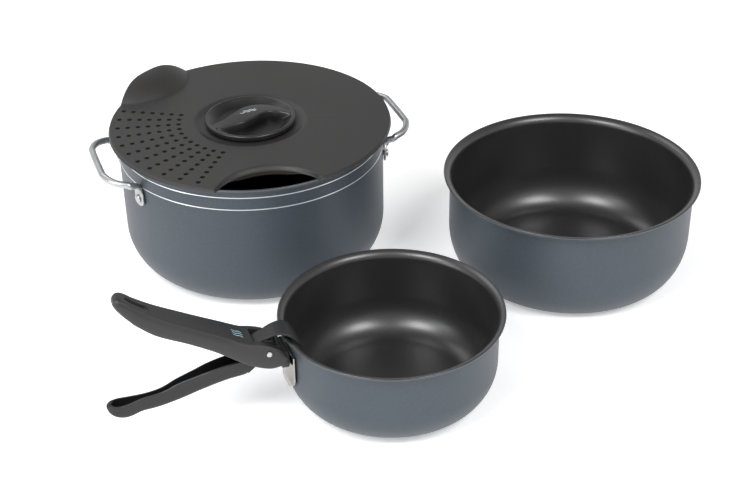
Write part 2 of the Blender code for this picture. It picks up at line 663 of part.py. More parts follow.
def make_lever(plastic, pivot):
    stations = [97.5, 101, 106, 111, 116, 121, 126, 131, 136, 142, 147, 151, 155, 161, 166, 171,
                174, 177, 180.5, 184, 187, 189.5, 191.5]
    rings = [channel_ring(x) for x in stations]
    lever = add_object("gripper_lever", lofted(rings), plastic, pivot)
    width_line = HOOK_HALF_WIDTH

    def half_width(x):
        return height_at((x + PIN_OUT) / MM, width_line) * MM

    boolean(lever, "hub_and_hook", slab(to_pin(hub_outline()), half_width), "UNION")
    end_wall = slab(to_pin([(189.3, 28.4), (192.2, 31.6), (192.2, 35.2), (189.3, 35.4)]),
                    lambda x: height_at((x + PIN_OUT) / MM, LEVER_HALF_WIDTH) * MM - 0.3 * MM)
    boolean(lever, "end_wall", end_wall, "UNION")
    slot = to_pin([(79, 61.6), (79, 47), (104, 47), (104, 70), (96.6, 63), (93.4, 61.6)])
    boolean(lever, "spring_slot", slab(slot, lambda x: HUB_SLOT))
    boolean(lever, "pin_hole", rod((0, -20 * MM, 0), (0, 20 * MM, 0), PIN_RADIUS + GAP))
    boolean(lever, "liner_rivet_hole",
            rod((-9.3 * MM, 0, 6.6 * MM), (-9.3 * MM, 0, 9.9 * MM), 1.1 * MM + GAP, 12))


def offset_line(points, distance):
    """Moves a line of points sideways, to the left of its direction."""
    moved = []
    for i, point in enumerate(points):
        before = points[max(i - 1, 0)]
        after = points[min(i + 1, len(points) - 1)]
        angle = atan2(after[1] - before[1], after[0] - before[0])
        moved.append((point[0] - distance * sin(angle), point[1] + distance * cos(angle)))
    return moved


def make_hook_liner(steel, pivot):
    """Sprung steel strip under the hook, from its root to its tip, with one rivet."""
    palm = [(67.1, 57.4), (68.5, 60.9), (70.8, 63.7), (74, 65.6), (77.6, 66.1), (80.2, 65.4)]
    near = offset_line(palm, -GAP / MM)
    far = offset_line(palm, -(GAP + LINER_SHEET) / MM)
    strip = slab(to_pin(near + far[::-1]), lambda x: 5.4 * MM)
    liner = add_object("gripper_hook_liner", strip, steel, pivot)
    foot = (-9.3 * MM, 0, 5.4 * MM)
    boolean(liner, "rivet_hole", rod((foot[0], 0, 4 * MM), (foot[0], 0, 9 * MM),
                                     1.1 * MM + GAP, 12))
    profile = [(0, 0), (1.6 * MM, 0.1 * MM), (2.1 * MM, 0.6 * MM), (2.1 * MM, 0.9 * MM),
               (1.1 * MM, 0.9 * MM), (1.1 * MM, 4.1 * MM), (0, 4.1 * MM)]
    add_object("gripper_liner_rivet", turned_along(profile, foot, (0, 0, 1), 16), steel, pivot)


def make_jaw(chrome, steel, pivot, pan_to_pivot):
    """Curved plate that bears on the outside of the pan's wall, held by two rivets."""
    rows = [(JAW_TOP, 0, 1), (JAW_BOTTOM + 6 * MM, 0, 1), (JAW_BOTTOM + 2.6 * MM, 0.1 * MM, 0.93),
            (JAW_BOTTOM + 0.9 * MM, 0.5 * MM, 0.8), (JAW_BOTTOM, 1.0 * MM, 0.62)]
    steps = 14
    rings = []
    for z, flare, part in rows:
        row = []
        for i in range(steps + 1):
            angle = JAW_HALF_ANGLE * part * (2 * i / steps - 1)
            row.append((JAW_INNER + flare, angle, z))
        for i in range(steps + 1):
            angle = JAW_HALF_ANGLE * part * (1 - 2 * i / steps)
            row.append((JAW_INNER + JAW_SHEET + flare, angle, z))
        rings.append([(r * cos(a) - pan_to_pivot, r * sin(a), z - PIN_Z) for r, a, z in row])
    jaw = add_object("gripper_jaw_plate", lofted(rings), chrome, pivot)
    holes = [rod((-18 * MM, y, JAW_RIVET_DROP), (-10 * MM, y, JAW_RIVET_DROP), 1.5 * MM + GAP)
             for y in (-JAW_RIVET_SIDE, JAW_RIVET_SIDE)]
    boolean(jaw, "rivet_holes", joined(holes))
    for name, y in (("near", JAW_RIVET_SIDE), ("far", -JAW_RIVET_SIDE)):
        inner_face = sqrt((JAW_INNER + 0.2 * MM) ** 2 - y ** 2) - pan_to_pivot
        shank = -8.2 * MM + GAP - inner_face
        profile = [(0, 0), (1.5 * MM, 0), (1.5 * MM, shank), (2.4 * MM, shank),
                   (2.2 * MM, shank + 0.6 * MM), (0, shank + 0.9 * MM)]
        add_object(f"gripper_jaw_{name}_rivet",
                   turned_along(profile, (inner_face, y, JAW_RIVET_DROP), (1, 0, 0), 16), steel, pivot)


def make_pin(steel, pivot):
    seat = CHEEK_OUTER + GAP
    half = [(0, seat + 0.7 * MM), (PIN_RADIUS, seat + 0.6 * MM), (PIN_HEAD_RADIUS, seat + 0.2 * MM),
            (PIN_HEAD_RADIUS, seat), (PIN_RADIUS, seat)]
    profile = [(r, -y) for r, y in half] + half[::-1]
    add_object("gripper_pivot_pin", turned_along(profile, (0, 0, 0), (0, 1, 0), 16), steel, pivot)


def make_spring(steel, pivot):
    """Torsion spring round the pin: one leg under the top web, one over the lever's heel."""
    upper, lower = radians(8), radians(-23)
    first = upper + radians(90)
    span = (lower - radians(90) - first) % (2 * pi) + 2 * pi * SPRING_TURNS
    steps = 34
    width = 3.8 * MM
    coil = []
    for step in range(steps + 1):
        part = step / steps
        angle = first + span * part
        coil.append(Vector((SPRING_RADIUS * cos(angle), width * (part - 0.5),
                            SPRING_RADIUS * sin(angle))))
    knee = coil[0] + 9.6 * MM * Vector((cos(upper), 0, sin(upper)))
    hooked = knee + 5 * MM * Vector((cos(radians(28)), 0, sin(radians(28))))
    far_end = coil[-1] + 17.5 * MM * Vector((cos(lower), 0, sin(lower)))
    points = [hooked, knee] + coil + [far_end]
    sizes = [(SPRING_WIRE, SPRING_WIRE)] * len(points)
    add_object("gripper_spring", swept(points, sizes, side=Vector((0, 1, 0)), steps=6), steel,
               pivot)


# ---------------------------------------------------------------- build
def build():
    clear_scene()
    paint = material("blue_grey_paint", (0.10, 0.125, 0.155), 0.42, 0.35)
    lid_plastic = material("lid_plastic", (0.075, 0.072, 0.070), 0.55)
    knob_plastic = material("knob_plastic", (0.045, 0.045, 0.047), 0.32)
    grip_plastic = material("grip_plastic", (0.050, 0.050, 0.053), 0.5)
    aluminium = material("satin_aluminium", (0.70, 0.70, 0.71), 0.35, 1.0)
    steel = material("rivet_steel", (0.62, 0.62, 0.63), 0.3, 1.0)
    chrome = material("chromed_steel", (0.80, 0.80, 0.81), 0.1, 1.0)

    axes = {"pot": add_empty("pot_axis", (0, 0, 0)),
            "lid": add_empty("lid_axis", (0, 0, 0)),
            "bowl": add_empty("bowl_axis", BOWL_PLACE),
            "pan": add_empty("pan_axis", PAN_PLACE)}
    pivot = add_empty("gripper_pivot", (PIN_OUT * cos(GRIP_AZIMUTH), PIN_OUT * sin(GRIP_AZIMUTH),
                                        PIN_Z), GRIP_AZIMUTH, axes["pan"])
    make_vessels(paint, axes)
    make_handles(steel, aluminium, axes["pot"])
    make_lid(lid_plastic, knob_plastic, steel, axes["lid"])
    make_upper_grip(grip_plastic, pivot, PIN_OUT)
    make_lever(grip_plastic, pivot)
    make_hook_liner(steel, pivot)
    make_jaw(chrome, steel, pivot, PIN_OUT)
    make_pin(steel, pivot)
    make_spring(steel, pivot)


build()
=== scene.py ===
# Camp cooking pot set: lidded pot, bowl and small pan with a clip-on gripper.
# Metres throughout, +Z up, origin at the middle of the pot's base.

import bmesh
import bpy
import numpy as np
from mathutils import Matrix, Vector


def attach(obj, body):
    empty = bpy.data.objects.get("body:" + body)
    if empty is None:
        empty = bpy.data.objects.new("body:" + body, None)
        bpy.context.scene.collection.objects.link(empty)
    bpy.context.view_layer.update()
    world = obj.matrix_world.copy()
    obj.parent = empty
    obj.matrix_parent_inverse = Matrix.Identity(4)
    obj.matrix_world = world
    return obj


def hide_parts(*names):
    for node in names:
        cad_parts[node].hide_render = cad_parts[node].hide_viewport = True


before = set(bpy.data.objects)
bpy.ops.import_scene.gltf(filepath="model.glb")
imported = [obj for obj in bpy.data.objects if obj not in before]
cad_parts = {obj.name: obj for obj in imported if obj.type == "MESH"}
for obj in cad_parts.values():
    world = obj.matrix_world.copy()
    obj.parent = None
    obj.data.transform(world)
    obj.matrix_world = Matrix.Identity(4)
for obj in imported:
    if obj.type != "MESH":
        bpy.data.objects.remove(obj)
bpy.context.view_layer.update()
mm = 0.001
print("frame loaded:", len(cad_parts), "nodes")


# ---- mesh helpers

def newPiece(name, points, faces, body, stands, finish, sharp=40, side=None):
    # a mesh from an array of points and a list of index arrays, joined up and turned outwards
    mesh = bpy.data.meshes.new(name)
    mesh.from_pydata(points.tolist(), [], [row for block in faces for row in block.tolist()])
    if side is not None:
        mesh.attributes.new("side", "FLOAT", "POINT").data.foreach_set("value", side)
    work = bmesh.new()
    work.from_mesh(mesh)
    bmesh.ops.remove_doubles(work, verts=work.verts, dist=2e-7)
    bmesh.ops.dissolve_degenerate(work, edges=work.edges, dist=1e-8)
    bmesh.ops.recalc_face_normals(work, faces=work.faces)
    work.to_mesh(mesh)
    work.free()
    mesh.shade_smooth()
    mesh.set_sharp_from_angle(angle=np.radians(sharp))
    mesh.materials.append(finish)
    piece = bpy.data.objects.new(name, mesh)
    bpy.context.scene.collection.objects.link(piece)
    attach(piece, body)
    if stands:
        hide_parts(*stands)
    return piece


def gridFaces(rows, columns, wrapRows=False):
    # quads of a rows x columns grid of points; columns join up in a ring, and rows where asked
    i = np.arange(rows if wrapRows else rows - 1)[:, None]
    j = np.arange(columns)[None, :]
    after, beside = (i + 1) % rows, (j + 1) % columns
    corners = [i * columns + j, after * columns + j, after * columns + beside, i * columns + beside]
    return np.stack([c.reshape(-1) for c in np.broadcast_arrays(*corners)], axis=1)


def turned(profile, steps, place=(0, 0, 0)):
    # surface of revolution: (r cos t, r sin t, z) for every profile point and every angle t
    profile = np.asarray(profile, float)
    t = np.arange(steps) * 2 * np.pi / steps
    r, z = profile[:, :1], profile[:, 1:]
    points = np.stack([r * np.cos(t), r * np.sin(t), z + 0 * t], axis=2).reshape(-1, 3)
    return points + np.array(place), [gridFaces(len(profile), steps)]


def loft(rings):
    # skin over equal rings; each end closes as a fan round the middle of its ring
    rings = np.asarray(rings, float)
    rows, columns = rings.shape[:2]
    points = np.vstack([rings.reshape(-1, 3), rings[0].mean(0), rings[-1].mean(0)])
    j = np.arange(columns)
    beside = (j + 1) % columns
    last = (rows - 1) * columns
    return points, [gridFaces(rows, columns),
                    np.stack([j, beside, j * 0 + rows * columns], axis=1),
                    np.stack([last + beside, last + j, j * 0 + rows * columns + 1], axis=1)]


def spline(knots, count):
    # Catmull-Rom curve through the knots, count points for each span, worked out as arrays
    p = np.asarray(knots, float)
    p = np.vstack([2 * p[0] - p[1], p, 2 * p[-1] - p[-2]])
    t = (np.arange(count) / count)[None, :, None]
    a, b, c, d = (p[k:len(p) - 3 + k][:, None, :] for k in range(4))
    body = 0.5 * (2 * b + (c - a) * t + (2 * a - 5 * b + 4 * c - d) * t ** 2
                  + (3 * b - a - 3 * c + d) * t ** 3)
    return np.vstack([body.reshape(-1, p.shape[1]), p[-2]])


def swept(path, halfWide, halfThick, thickWay, steps=28, power=2.0):
    # a rounded section carried along a path: its short way lies along thickWay made square to
    # the path, and |cos|^(2/power), |sin|^(2/power) turn the ellipse towards a rectangle
    path = np.asarray(path, float)
    ahead = np.gradient(path, axis=0)
    ahead /= np.linalg.norm(ahead, axis=1, keepdims=True)
    thick = thickWay - ahead * (thickWay * ahead).sum(1, keepdims=True)
    thick /= np.linalg.norm(thick, axis=1, keepdims=True)
    wide = np.cross(thick, ahead)
    t = np.arange(steps) * 2 * np.pi / steps
    bend = 2 / np.broadcast_to(power, len(path))[:, None]
    c = np.sign(np.cos(t)) * np.abs(np.cos(t)) ** bend
    s = np.sign(np.sin(t)) * np.abs(np.sin(t)) ** bend
    return (path[:, None] + wide[:, None] * (halfWide[:, None] * c)[..., None]
            + thick[:, None] * (halfThick[:, None] * s)[..., None])


def applied(piece):
    # makes the piece's modifiers permanent and takes their tools away
    graph = bpy.context.evaluated_depsgraph_get()
    made = bpy.data.meshes.new_from_object(piece.evaluated_get(graph))
    tools = [m.object for m in piece.modifiers if getattr(m, "object", None)]
    piece.modifiers.clear()
    piece.data = made
    for tool in tools:
        bpy.data.objects.remove(tool)
    made.shade_smooth()
    made.set_sharp_from_angle(angle=np.radians(38))


def cut(piece, shapes):
    # takes closed shapes away from the piece
    for points, faces in shapes:
        mesh = bpy.data.meshes.new("tool")
        mesh.from_pydata(points.tolist(), [], [row for block in faces for row in block.tolist()])
        work = bmesh.new()
        work.from_mesh(mesh)
        bmesh.ops.remove_doubles(work, verts=work.verts, dist=1e-7)
        bmesh.ops.triangulate(work, faces=work.faces)
        bmesh.ops.recalc_face_normals(work, faces=work.faces)
        work.to_mesh(mesh)
        work.free()
        tool = bpy.data.objects.new("tool", mesh)
        bpy.context.scene.collection.objects.link(tool)
        modifier = piece.modifiers.new("cut", "BOOLEAN")
        modifier.operation = "DIFFERENCE"
        modifier.solver = "EXACT"
        modifier.object = tool
    bpy.context.view_layer.update()
    applied(piece)


def smoothStep(x):
    # 3x^2 - 2x^3, held between 0 and 1
    x = np.clip(x, 0, 1)
    return x * x * (3 - 2 * x)


# ---- shader maths

class Wire:
    # one output in a node tree; arithmetic on it adds Math nodes

    def __init__(self, tree, out=None):
        self.tree = tree
        self.out = out

    def node(self, kind, settings=None, sockets=None, output=0):
        made = self.tree.nodes.new("ShaderNode" + kind)
        for key, value in (settings or {}).items():
            setattr(made, key, value)
        for key, value in (sockets or {}).items():
            if isinstance(value, Wire):
                self.tree.links.new(value.out, made.inputs[key])
            else:
                made.inputs[key].default_value = value
        return Wire(self.tree, made.outputs[output])

    def maths(self, operation, a, b=0.0):
        return self.node("Math", {"operation": operation}, {0: a, 1: b})

    def __add__(self, other):
        return self.maths("ADD", self, other)

    def __radd__(self, other):
        return self.maths("ADD", other, self)

    def __sub__(self, other):
        return self.maths("SUBTRACT", self, other)

    def __rsub__(self, other):
        return self.maths("SUBTRACT", other, self)

    def __mul__(self, other):
        return self.maths("MULTIPLY", self, other)

    def __rmul__(self, other):
        return self.maths("MULTIPLY", other, self)

    def __abs__(self):
        return self.maths("ABSOLUTE", self)

    def rise(self, low, high, start=0.0, end=1.0):
        # eases from start to end while this value goes from low to high
        return self.node("MapRange", {"interpolation_type": "SMOOTHSTEP"},
                         {"Value": self, "From Min": low, "From Max": high,
                          "To Min": start, "To Max": end})

    def mixed(self, first, second):
        # colour first where this value is 0 and second where it is 1
        return self.node("Mix", {"data_type": "RGBA"}, {0: self, 6: first, 7: second}, output=2)


def newFinish(name, **fixed):
    # an empty material with its shader; returns the material, a start wire and a joining call
    made = bpy.data.materials.new(name)
    made.use_nodes = True
    tree = made.node_tree
    shader = tree.nodes["Principled BSDF"]
    for key, value in fixed.items():
        shader.inputs[key.replace("_", " ")].default_value = value

    def join(socket, value):
        if isinstance(value, Wire):
            tree.links.new(value.out, shader.inputs[socket])
        else:
            shader.inputs[socket].default_value = value

    return made, Wire(tree), join


def parted(at, spin, place):
    # a point measured from place, turned about Z, and parted into x, y and z
    moved = at.node("VectorMath", {"operation": "SUBTRACT"}, {0: at, 1: place})
    turnedTo = at.node("VectorRotate", {"rotation_type": "Z_AXIS"},
                       {"Vector": moved, "Angle": -spin})
    return [at.node("SeparateXYZ", None, {0: turnedTo}, output=k) for k in range(3)]


def noise(start, at, scale, detail=3.0, rough=0.5):
    return start.node("TexNoise", None, {"Vector": at, "Scale": scale, "Detail": detail,
                                         "Roughness": rough})


def bump(start, height, strength, distance):
    return start.node("Bump", None, {"Height": height, "Strength": strength,
                                     "Distance": distance})


def shade(colour, part):
    # the colour times part, still opaque
    return tuple(part * c for c in colour[:3]) + (1,)


def waveMark(u, v, lines):
    # a generic mark: short wavy strokes side by side, 1 on the stroke and 0 off it
    total = None
    for row in lines:
        bend = row["swing"] * u.maths("SINE", u * (2 * np.pi / row["length"]))
        off = abs(v - row["across"] - bend)
        inLine = off.rise(row["width"] * 0.5, row["width"] * 0.95, 1.0, 0.0)
        along = abs(u - row["along"]).rise(row["half"], row["half"] + 0.0003, 1.0, 0.0)
        stroke = inLine * along
        total = stroke if total is None else total.maths("MAXIMUM", total, stroke)
    return total


# ---- finishes

def paintFinish(name, lines=()):
    # satin blue-grey lacquer outside and charcoal non-stick inside; "side" runs from 0 on the
    # outside to 1 on the inside, and lines are the heights of bare bright rings
    look = {"paint": (0.041, 0.054, 0.067, 1), "paintLight": (0.048, 0.063, 0.078, 1),
            "coat": (0.0125, 0.0120, 0.0128, 1), "speck": (0.040, 0.040, 0.042, 1),
            "edge": (0.15, 0.155, 0.165, 1), "bare": (0.80, 0.81, 0.82, 1)}
    made, start, join = newFinish(name, Coat_Roughness=0.30)
    at = start.node("TexCoord", output="Object")
    z = at.node("SeparateXYZ", None, {0: at}, output=2)
    side = start.node("Attribute", {"attribute_name": "side"}, output="Fac")
    cloud = noise(start, at, 9.0, 2.0)
    grain = noise(start, at, 1400.0, 2.0)
    fleck = noise(start, at, 1500.0, 1.0)
    paint = cloud.rise(0.3, 0.7).mixed(look["paint"], look["paintLight"])
    paint = (grain.rise(0.35, 0.75) * 0.16).mixed(paint, look["edge"])
    coat = (fleck.rise(0.60, 0.75) * 0.6).mixed(look["coat"], look["speck"])
    isInside = side.rise(0.30, 0.42)
    lip = side.rise(0.10, 0.2) * (1 - side.rise(0.26, 0.36))
    colour = isInside.mixed(paint, coat)
    colour = (lip * 0.5).mixed(colour, look["edge"])
    rough = 0.42 - isInside * 0.08 + cloud * 0.06 + fleck * 0.06 * isInside
    metal = 0.25 * (1 - isInside)
    height = grain * 0.4 + fleck * isInside * 0.8
    if lines:
        onLine = None
        for level in lines:
            near = abs(z - level * mm).rise(0.00030, 0.00046, 1.0, 0.0)
            onLine = near if onLine is None else onLine.maths("MAXIMUM", onLine, near)
        onLine = onLine * (1 - side.rise(0.05, 0.1))
        colour = onLine.mixed(colour, look["bare"])
        metal = metal.maths("MAXIMUM", metal, onLine)
        rough = rough - onLine * 0.16
    join("Base Color", colour)
    join("Roughness", rough)
    join("Metallic", metal)
    join("Coat Weight", isInside * 0.9)
    join("Normal", bump(start, height, 0.12, 0.0002))
    return made


def mouldedFinish(name, dark, light, rough, grainScale, grainDepth, mark=None, pocketShadeHeights=None):
    # moulded plastic: slow drift of tone, fine spark-eroded grain, rubbed streaks, and edges
    # lighter and glossier where "side" rises, the lightening being a painted highlight on the edge
    # line; mark gives a small generic print of wavy strokes and its place, and the last argument
    # the two heights, from that place, between which pockets are darkened with painted shade
    made, start, join = newFinish(name)
    at = start.node("TexCoord", output="Object")
    drift = noise(start, at, 14.0, 2.0)
    grain = noise(start, at, grainScale, 3.0, 0.6)
    rub = noise(start, start.node("Mapping", None, {"Vector": at, "Scale": (30, 260, 60)}), 1.0)
    colour = drift.rise(0.3, 0.7).mixed(dark, light)
    colour = (grain.rise(0.45, 0.8) * 0.22).mixed(colour, shade(light, 1.7))
    edge = start.node("Attribute", {"attribute_name": "side"}, output="Fac")
    # painted highlight: where "side" marks an edge line, the colour is lightened as if it caught
    # the light
    colour = (edge * 0.5).mixed(colour, shade(light, 2.6))
    roughness = rough + (grain - 0.5) * 0.10 - rub.rise(0.62, 0.8) * 0.05 - edge * 0.12
    if mark:
        x, y, z = parted(at, mark["spin"], mark["place"])
    # painted shade: the pockets darken towards their floors as if shadowed, and are made rougher
    if pocketShadeHeights:
        outOfPocketShade = z.rise(*pocketShadeHeights)
        colour = outOfPocketShade.mixed(shade(dark, 0.12), colour)
        roughness = roughness + 0.08 * (1 - outOfPocketShade)
    if mark:
        stroke = waveMark(x, y, mark["lines"])
        stroke = stroke * (z - x * mark["slope"]).rise(-0.0028, -0.0016)
        colour = stroke.mixed(colour, mark["colour"])
    join("Base Color", colour)
    join("Roughness", roughness)
    join("Normal", bump(start, grain, 0.25, grainDepth))
    return made


def metalFinish(name, tone, rough, streak, wear=0.08):
    # bare metal with fine drawn streaks and cloudy handling marks
    made, start, join = newFinish(name, Metallic=1.0)
    at = start.node("TexCoord", output="Object")
    lines = noise(start, start.node("Mapping", None, {"Vector": at, "Scale": streak}), 1.0, 4.0)
    cloud = noise(start, at, 60.0, 2.0)
    worn = (cloud.rise(0.35, 0.75) * 0.45 + lines * 0.15).mixed(tone, shade(tone, 0.72))
    join("Base Color", worn)
    join("Roughness", rough + (lines - 0.5) * wear + cloud.rise(0.5, 0.8) * wear)
    join("Normal", bump(start, lines, 0.08, 0.0001))
    return made


gripAzimuth = np.radians(-161)
panPlace = np.array((0.1033, -0.1868, 0.0))
brightLines = (98.9, 89.2)
outward = np.array((np.cos(gripAzimuth), np.sin(gripAzimuth), 0.0))
nearSide = np.array((-np.sin(gripAzimuth), np.cos(gripAzimuth), 0.0))

knobMark = {"spin": np.radians(27), "place": (-0.0005, 0.0035, 0.113), "slope": 0.0,
            "colour": (0.60, 0.66, 0.68, 1),
            "lines": [{"across": 0.0016, "along": 0.0005, "half": 0.0048, "length": 0.0046,
                       "swing": 0.0006, "width": 0.00042},
                      {"across": -0.0004, "along": -0.0010, "half": 0.0066, "length": 0.0046,
                       "swing": 0.0006, "width": 0.00042}]}
gripMark = {"spin": gripAzimuth, "slope": 0.60, "colour": (0.30, 0.52, 0.60, 1),
            "place": tuple(panPlace + outward * 0.1052 + np.array((0, 0, 0.0696))),
            "lines": [{"across": k * 0.0026, "along": 0.0, "half": 0.0030, "length": 0.0040,
                       "swing": 0.0005, "width": 0.0005} for k in (-1, 0, 1)]}

finishes = {
    "pot": paintFinish("potLacquer", brightLines),
    "vessel": paintFinish("vesselLacquer"),
    "lid": mouldedFinish("lidPlastic", (0.0165, 0.0153, 0.0146, 1), (0.0205, 0.0190, 0.0181, 1),
                         0.50, 2600.0, 0.00012),
    # the knob's last pair gives the heights of the painted shade in its pockets
    "knob": mouldedFinish("knobPlastic", (0.0125, 0.0125, 0.0130, 1), (0.0155, 0.0155, 0.0162, 1),
                          0.33, 1500.0, 0.00003, knobMark, (-0.0048, -0.0008)),
    "grip": mouldedFinish("gripPlastic", (0.0125, 0.0122, 0.0126, 1), (0.016, 0.0156, 0.016, 1),
                          0.45, 2200.0, 0.00008, gripMark),
    "lever": mouldedFinish("leverPlastic", (0.0055, 0.0055, 0.0064, 1), (0.0078, 0.0078, 0.0089, 1),
                           0.50, 2200.0, 0.00008),
    "aluminium": metalFinish("satinAluminium", (0.50, 0.51, 0.51, 1), 0.40, (500, 500, 60)),
    "steel": metalFinish("rivetSteel", (0.52, 0.52, 0.52, 1), 0.30, (300, 300, 300)),
    "chrome": metalFinish("platedSteel", (0.38, 0.36, 0.335, 1), 0.17, (200, 200, 900), 0.03),
}
print("finishes made:", len(finishes))


# ---- vessels

vessels = {
    "pot": {"height": 105.9, "wall": 100.0, "base": 74.0, "corner": 31.5, "rim": 102.0,
            "rise": 4.2, "bend": 62, "sheet": 1.8, "place": (0, 0, 0), "lines": brightLines,
            "finish": "pot"},
    "bowl": {"height": 78.6, "wall": 90.8, "base": 68.8, "corner": 34.3, "rim": 95.6,
             "rise": 5.6, "bend": 76, "sheet": 1.7, "place": (0.2406, -0.0311, 0), "lines": (),
             "finish": "vessel"},
    "pan": {"height": 62.9, "wall": 71.8, "base": 49.0, "corner": 26.9, "rim": 76.1,
            "rise": 5.0, "bend": 76, "sheet": 1.6, "place": panPlace, "lines": (),
            "finish": "vessel"},
}


def vesselProfile(v):
    # middle line of the sheet: flat base, quarter ellipse, straight wall, then an arc flaring
    # out; the two faces lie half a sheet each side of it, with a half round at the rim
    half = v["sheet"] / 2
    a = np.linspace(0, np.pi / 2, 34)
    wall, rim = v["wall"] - half, v["rim"] - half * 1.1
    corner = np.stack([v["base"] + (wall - v["base"]) * np.sin(a),
                       half + (v["corner"] - half) * (1 - np.cos(a))], axis=1)
    top = v["height"] - half * np.sin(np.radians(v["bend"])) - 0.02
    levels = np.linspace(v["corner"], top - v["rise"], 26)[1:-1]
    rings = [level + np.linspace(-0.8, 0.8, 9) for level in v["lines"]]
    levels = np.sort(np.concatenate([levels] + rings))
    straight = np.stack([wall + 0 * levels, levels], axis=1)
    b = np.linspace(0, np.radians(v["bend"]), 14)
    flare = np.stack([wall + (rim - wall) * (1 - np.cos(b)) / (1 - np.cos(b[-1])),
                      top - v["rise"] + v["rise"] * np.sin(b) / np.sin(b[-1])], axis=1)
    flat = np.stack([np.array([0.0, 0.35, 0.7, 0.9]) * v["base"], np.full(4, half)], axis=1)
    line = np.vstack([flat, corner, straight, flare])
    ahead = np.gradient(line, axis=0)
    ahead /= np.linalg.norm(ahead, axis=1, keepdims=True)
    aside = np.stack([ahead[:, 1], -ahead[:, 0]], axis=1)
    outer, inner = line + aside * half, line - aside * half
    outer[0, 0] = inner[0, 0] = 0
    for level in v["lines"]:
        outer[:, 0] -= 0.22 * np.exp(-((outer[:, 1] - level) / 0.32) ** 4) * (outer[:, 0] > 90)
    c = np.linspace(0, np.pi, 11)[1:-1, None]
    cap = line[-1] + half * (aside[-1] * np.cos(c) + ahead[-1] * np.sin(c))
    mark = np.concatenate([np.zeros(len(outer)), np.linspace(0.15, 0.55, len(cap)),
                           np.ones(len(inner))])
    mark[len(outer) - 12:len(outer)] = np.linspace(0.0, 0.22, 12)
    return np.vstack([outer, cap, inner[::-1]]) * mm, mark


def makeVessel(name, v, steps=224):
    # the sheet's closed profile turned round the vessel's axis
    profile, mark = vesselProfile(v)
    points, faces = turned(profile, steps, v["place"])
    newPiece(name + "_vessel", points, faces, name, [name + "_body"], finishes[v["finish"]],
             60, side=np.repeat(mark, steps))


for name, v in vessels.items():
    makeVessel(name, v)
print("vessels made")


# ---- side handles and their rivets

handle = {"azimuth": 19.7, "halfSpan": 20.2, "rod": 2.5, "reach": 118.0, "corner": (17.0, 21.0),
          "outerZ": 96.0, "lugRadius": 101.4, "lugWide": 5.2, "lugThick": 1.1,
          "lugBottom": 74.2, "rivetZ": 80.0, "rivetHead": 3.2}


def makeHandle(side, centre):
    # round rod along a smooth line, flattened against the wall where it turns into a lug
    h = handle
    span = np.radians(h["halfSpan"])
    lug = np.array([[h["lugRadius"], z] for z in (h["lugBottom"], 76.5, 79, 82, 85)]
                   + [[h["lugRadius"] + 0.5, 88.0], [h["lugRadius"] + 2.6, 90.8],
                      [h["lugRadius"] + 6.4, 92.0]])
    half = np.stack([lug[:, 0] * np.cos(span), lug[:, 0] * np.sin(span), lug[:, 1]], axis=1)
    a = np.radians([8, 30, 50, 70, 90])
    y = half[-1, 1]
    corner = np.stack([h["reach"] - h["corner"][0] * (1 - np.sin(a)),
                       y - h["corner"][1] * (1 - np.cos(a)),
                       np.array([93.4, 94.4, 95.2, 95.8, h["outerZ"]])], axis=1)
    knots = np.vstack([half, corner])
    knots = np.vstack([knots, knots[::-1] * (1, -1, 1)])
    path = spline(knots, 9)
    toLug = smoothStep(1 - (path[:, 2] - 84.5) / 5.5)
    fromEnd = np.clip((path[:, 2] - h["lugBottom"]) / 3.6, 0.0, 1)
    roundEnd = np.sqrt(np.clip(1 - (1 - fromEnd) ** 2, 0.05, 1))
    wide = (h["rod"] + (h["lugWide"] - h["rod"]) * toLug) * roundEnd
    thick = (h["rod"] + (h["lugThick"] - h["rod"]) * toLug) * (0.6 + 0.4 * roundEnd)
    radial = path * (1, 1, 0)
    radial /= np.linalg.norm(radial, axis=1, keepdims=True)
    thickWay = np.array((0, 0, 1.0)) * (1 - toLug[:, None]) - radial * toLug[:, None]
    rings = swept(path, wide, thick, thickWay, 30, 2 + 2.2 * toLug)
    c, s = np.cos(centre), np.sin(centre)
    turn = np.array([[c, s, 0], [-s, c, 0], [0, 0, 1]])
    points, faces = loft(rings @ turn * mm)
    newPiece(side + "_handle_rod", points, faces, "pot", [side + "_handle"],
             finishes["aluminium"], 50)


def makeRivet(name, azimuth):
    # domed head outside, shank through the wall and flat head inside
    inside, outside = 97.8, 102.7
    dome = np.linspace(0, np.pi / 2, 12)
    wide = handle["rivetHead"]
    head = np.stack([wide * np.cos(dome), outside + 0.4 + 1.2 * np.sin(dome)], axis=1)
    profile = np.vstack([[0, inside - 1.3], [2.2, inside - 1.2], [wide - 0.3, inside - 0.7],
                         [wide, inside - 0.05], [2.0, inside], [2.0, outside],
                         [wide - 0.3, outside], [wide, outside + 0.15], head])
    profile[-1, 0] = 0
    points, faces = turned(profile * mm, 48)
    way = Vector((np.cos(azimuth), np.sin(azimuth), 0)).to_track_quat("Z", "Y").to_matrix()
    points = points @ np.array(way).T + np.array((0, 0, handle["rivetZ"] * mm))
    newPiece(name + "_head", points, faces, "pot", [name], finishes["steel"], 35)


for side, centre in (("right", np.radians(handle["azimuth"])),
                     ("left", np.radians(handle["azimuth"]) + np.pi)):
    makeHandle(side, centre)
    turnBy = np.radians(handle["halfSpan"]) * (1 if side == "left" else -1)
    makeRivet(side + "_handle_front_rivet", centre + turnBy)
    makeRivet(side + "_handle_back_rivet", centre - turnBy)
print("side handles made")


# ---- lid

lid = {"azimuth": 211.3, "radius": 106.2, "top": 109.3, "under": 106.2, "notch": 70.0,
       "tab": 67.2, "biteCentre": 120.0, "biteRadius": 43.0, "tabRise": 12.4, "tabSlope": 28.5,
       "tabPower": 2.1, "dish": 42.8, "dishFloor": 107.3, "wellFloor": 97.0, "sheet": 2.4,
       "skirtOuter": 97.2, "skirtBottom": 100.6, "lipDrop": 2.75, "rows": 11, "rowStep": 8.2,
       "holes": 7, "firstHole": 53.9, "lastHole": 99.2, "holeRadius": 1.85}


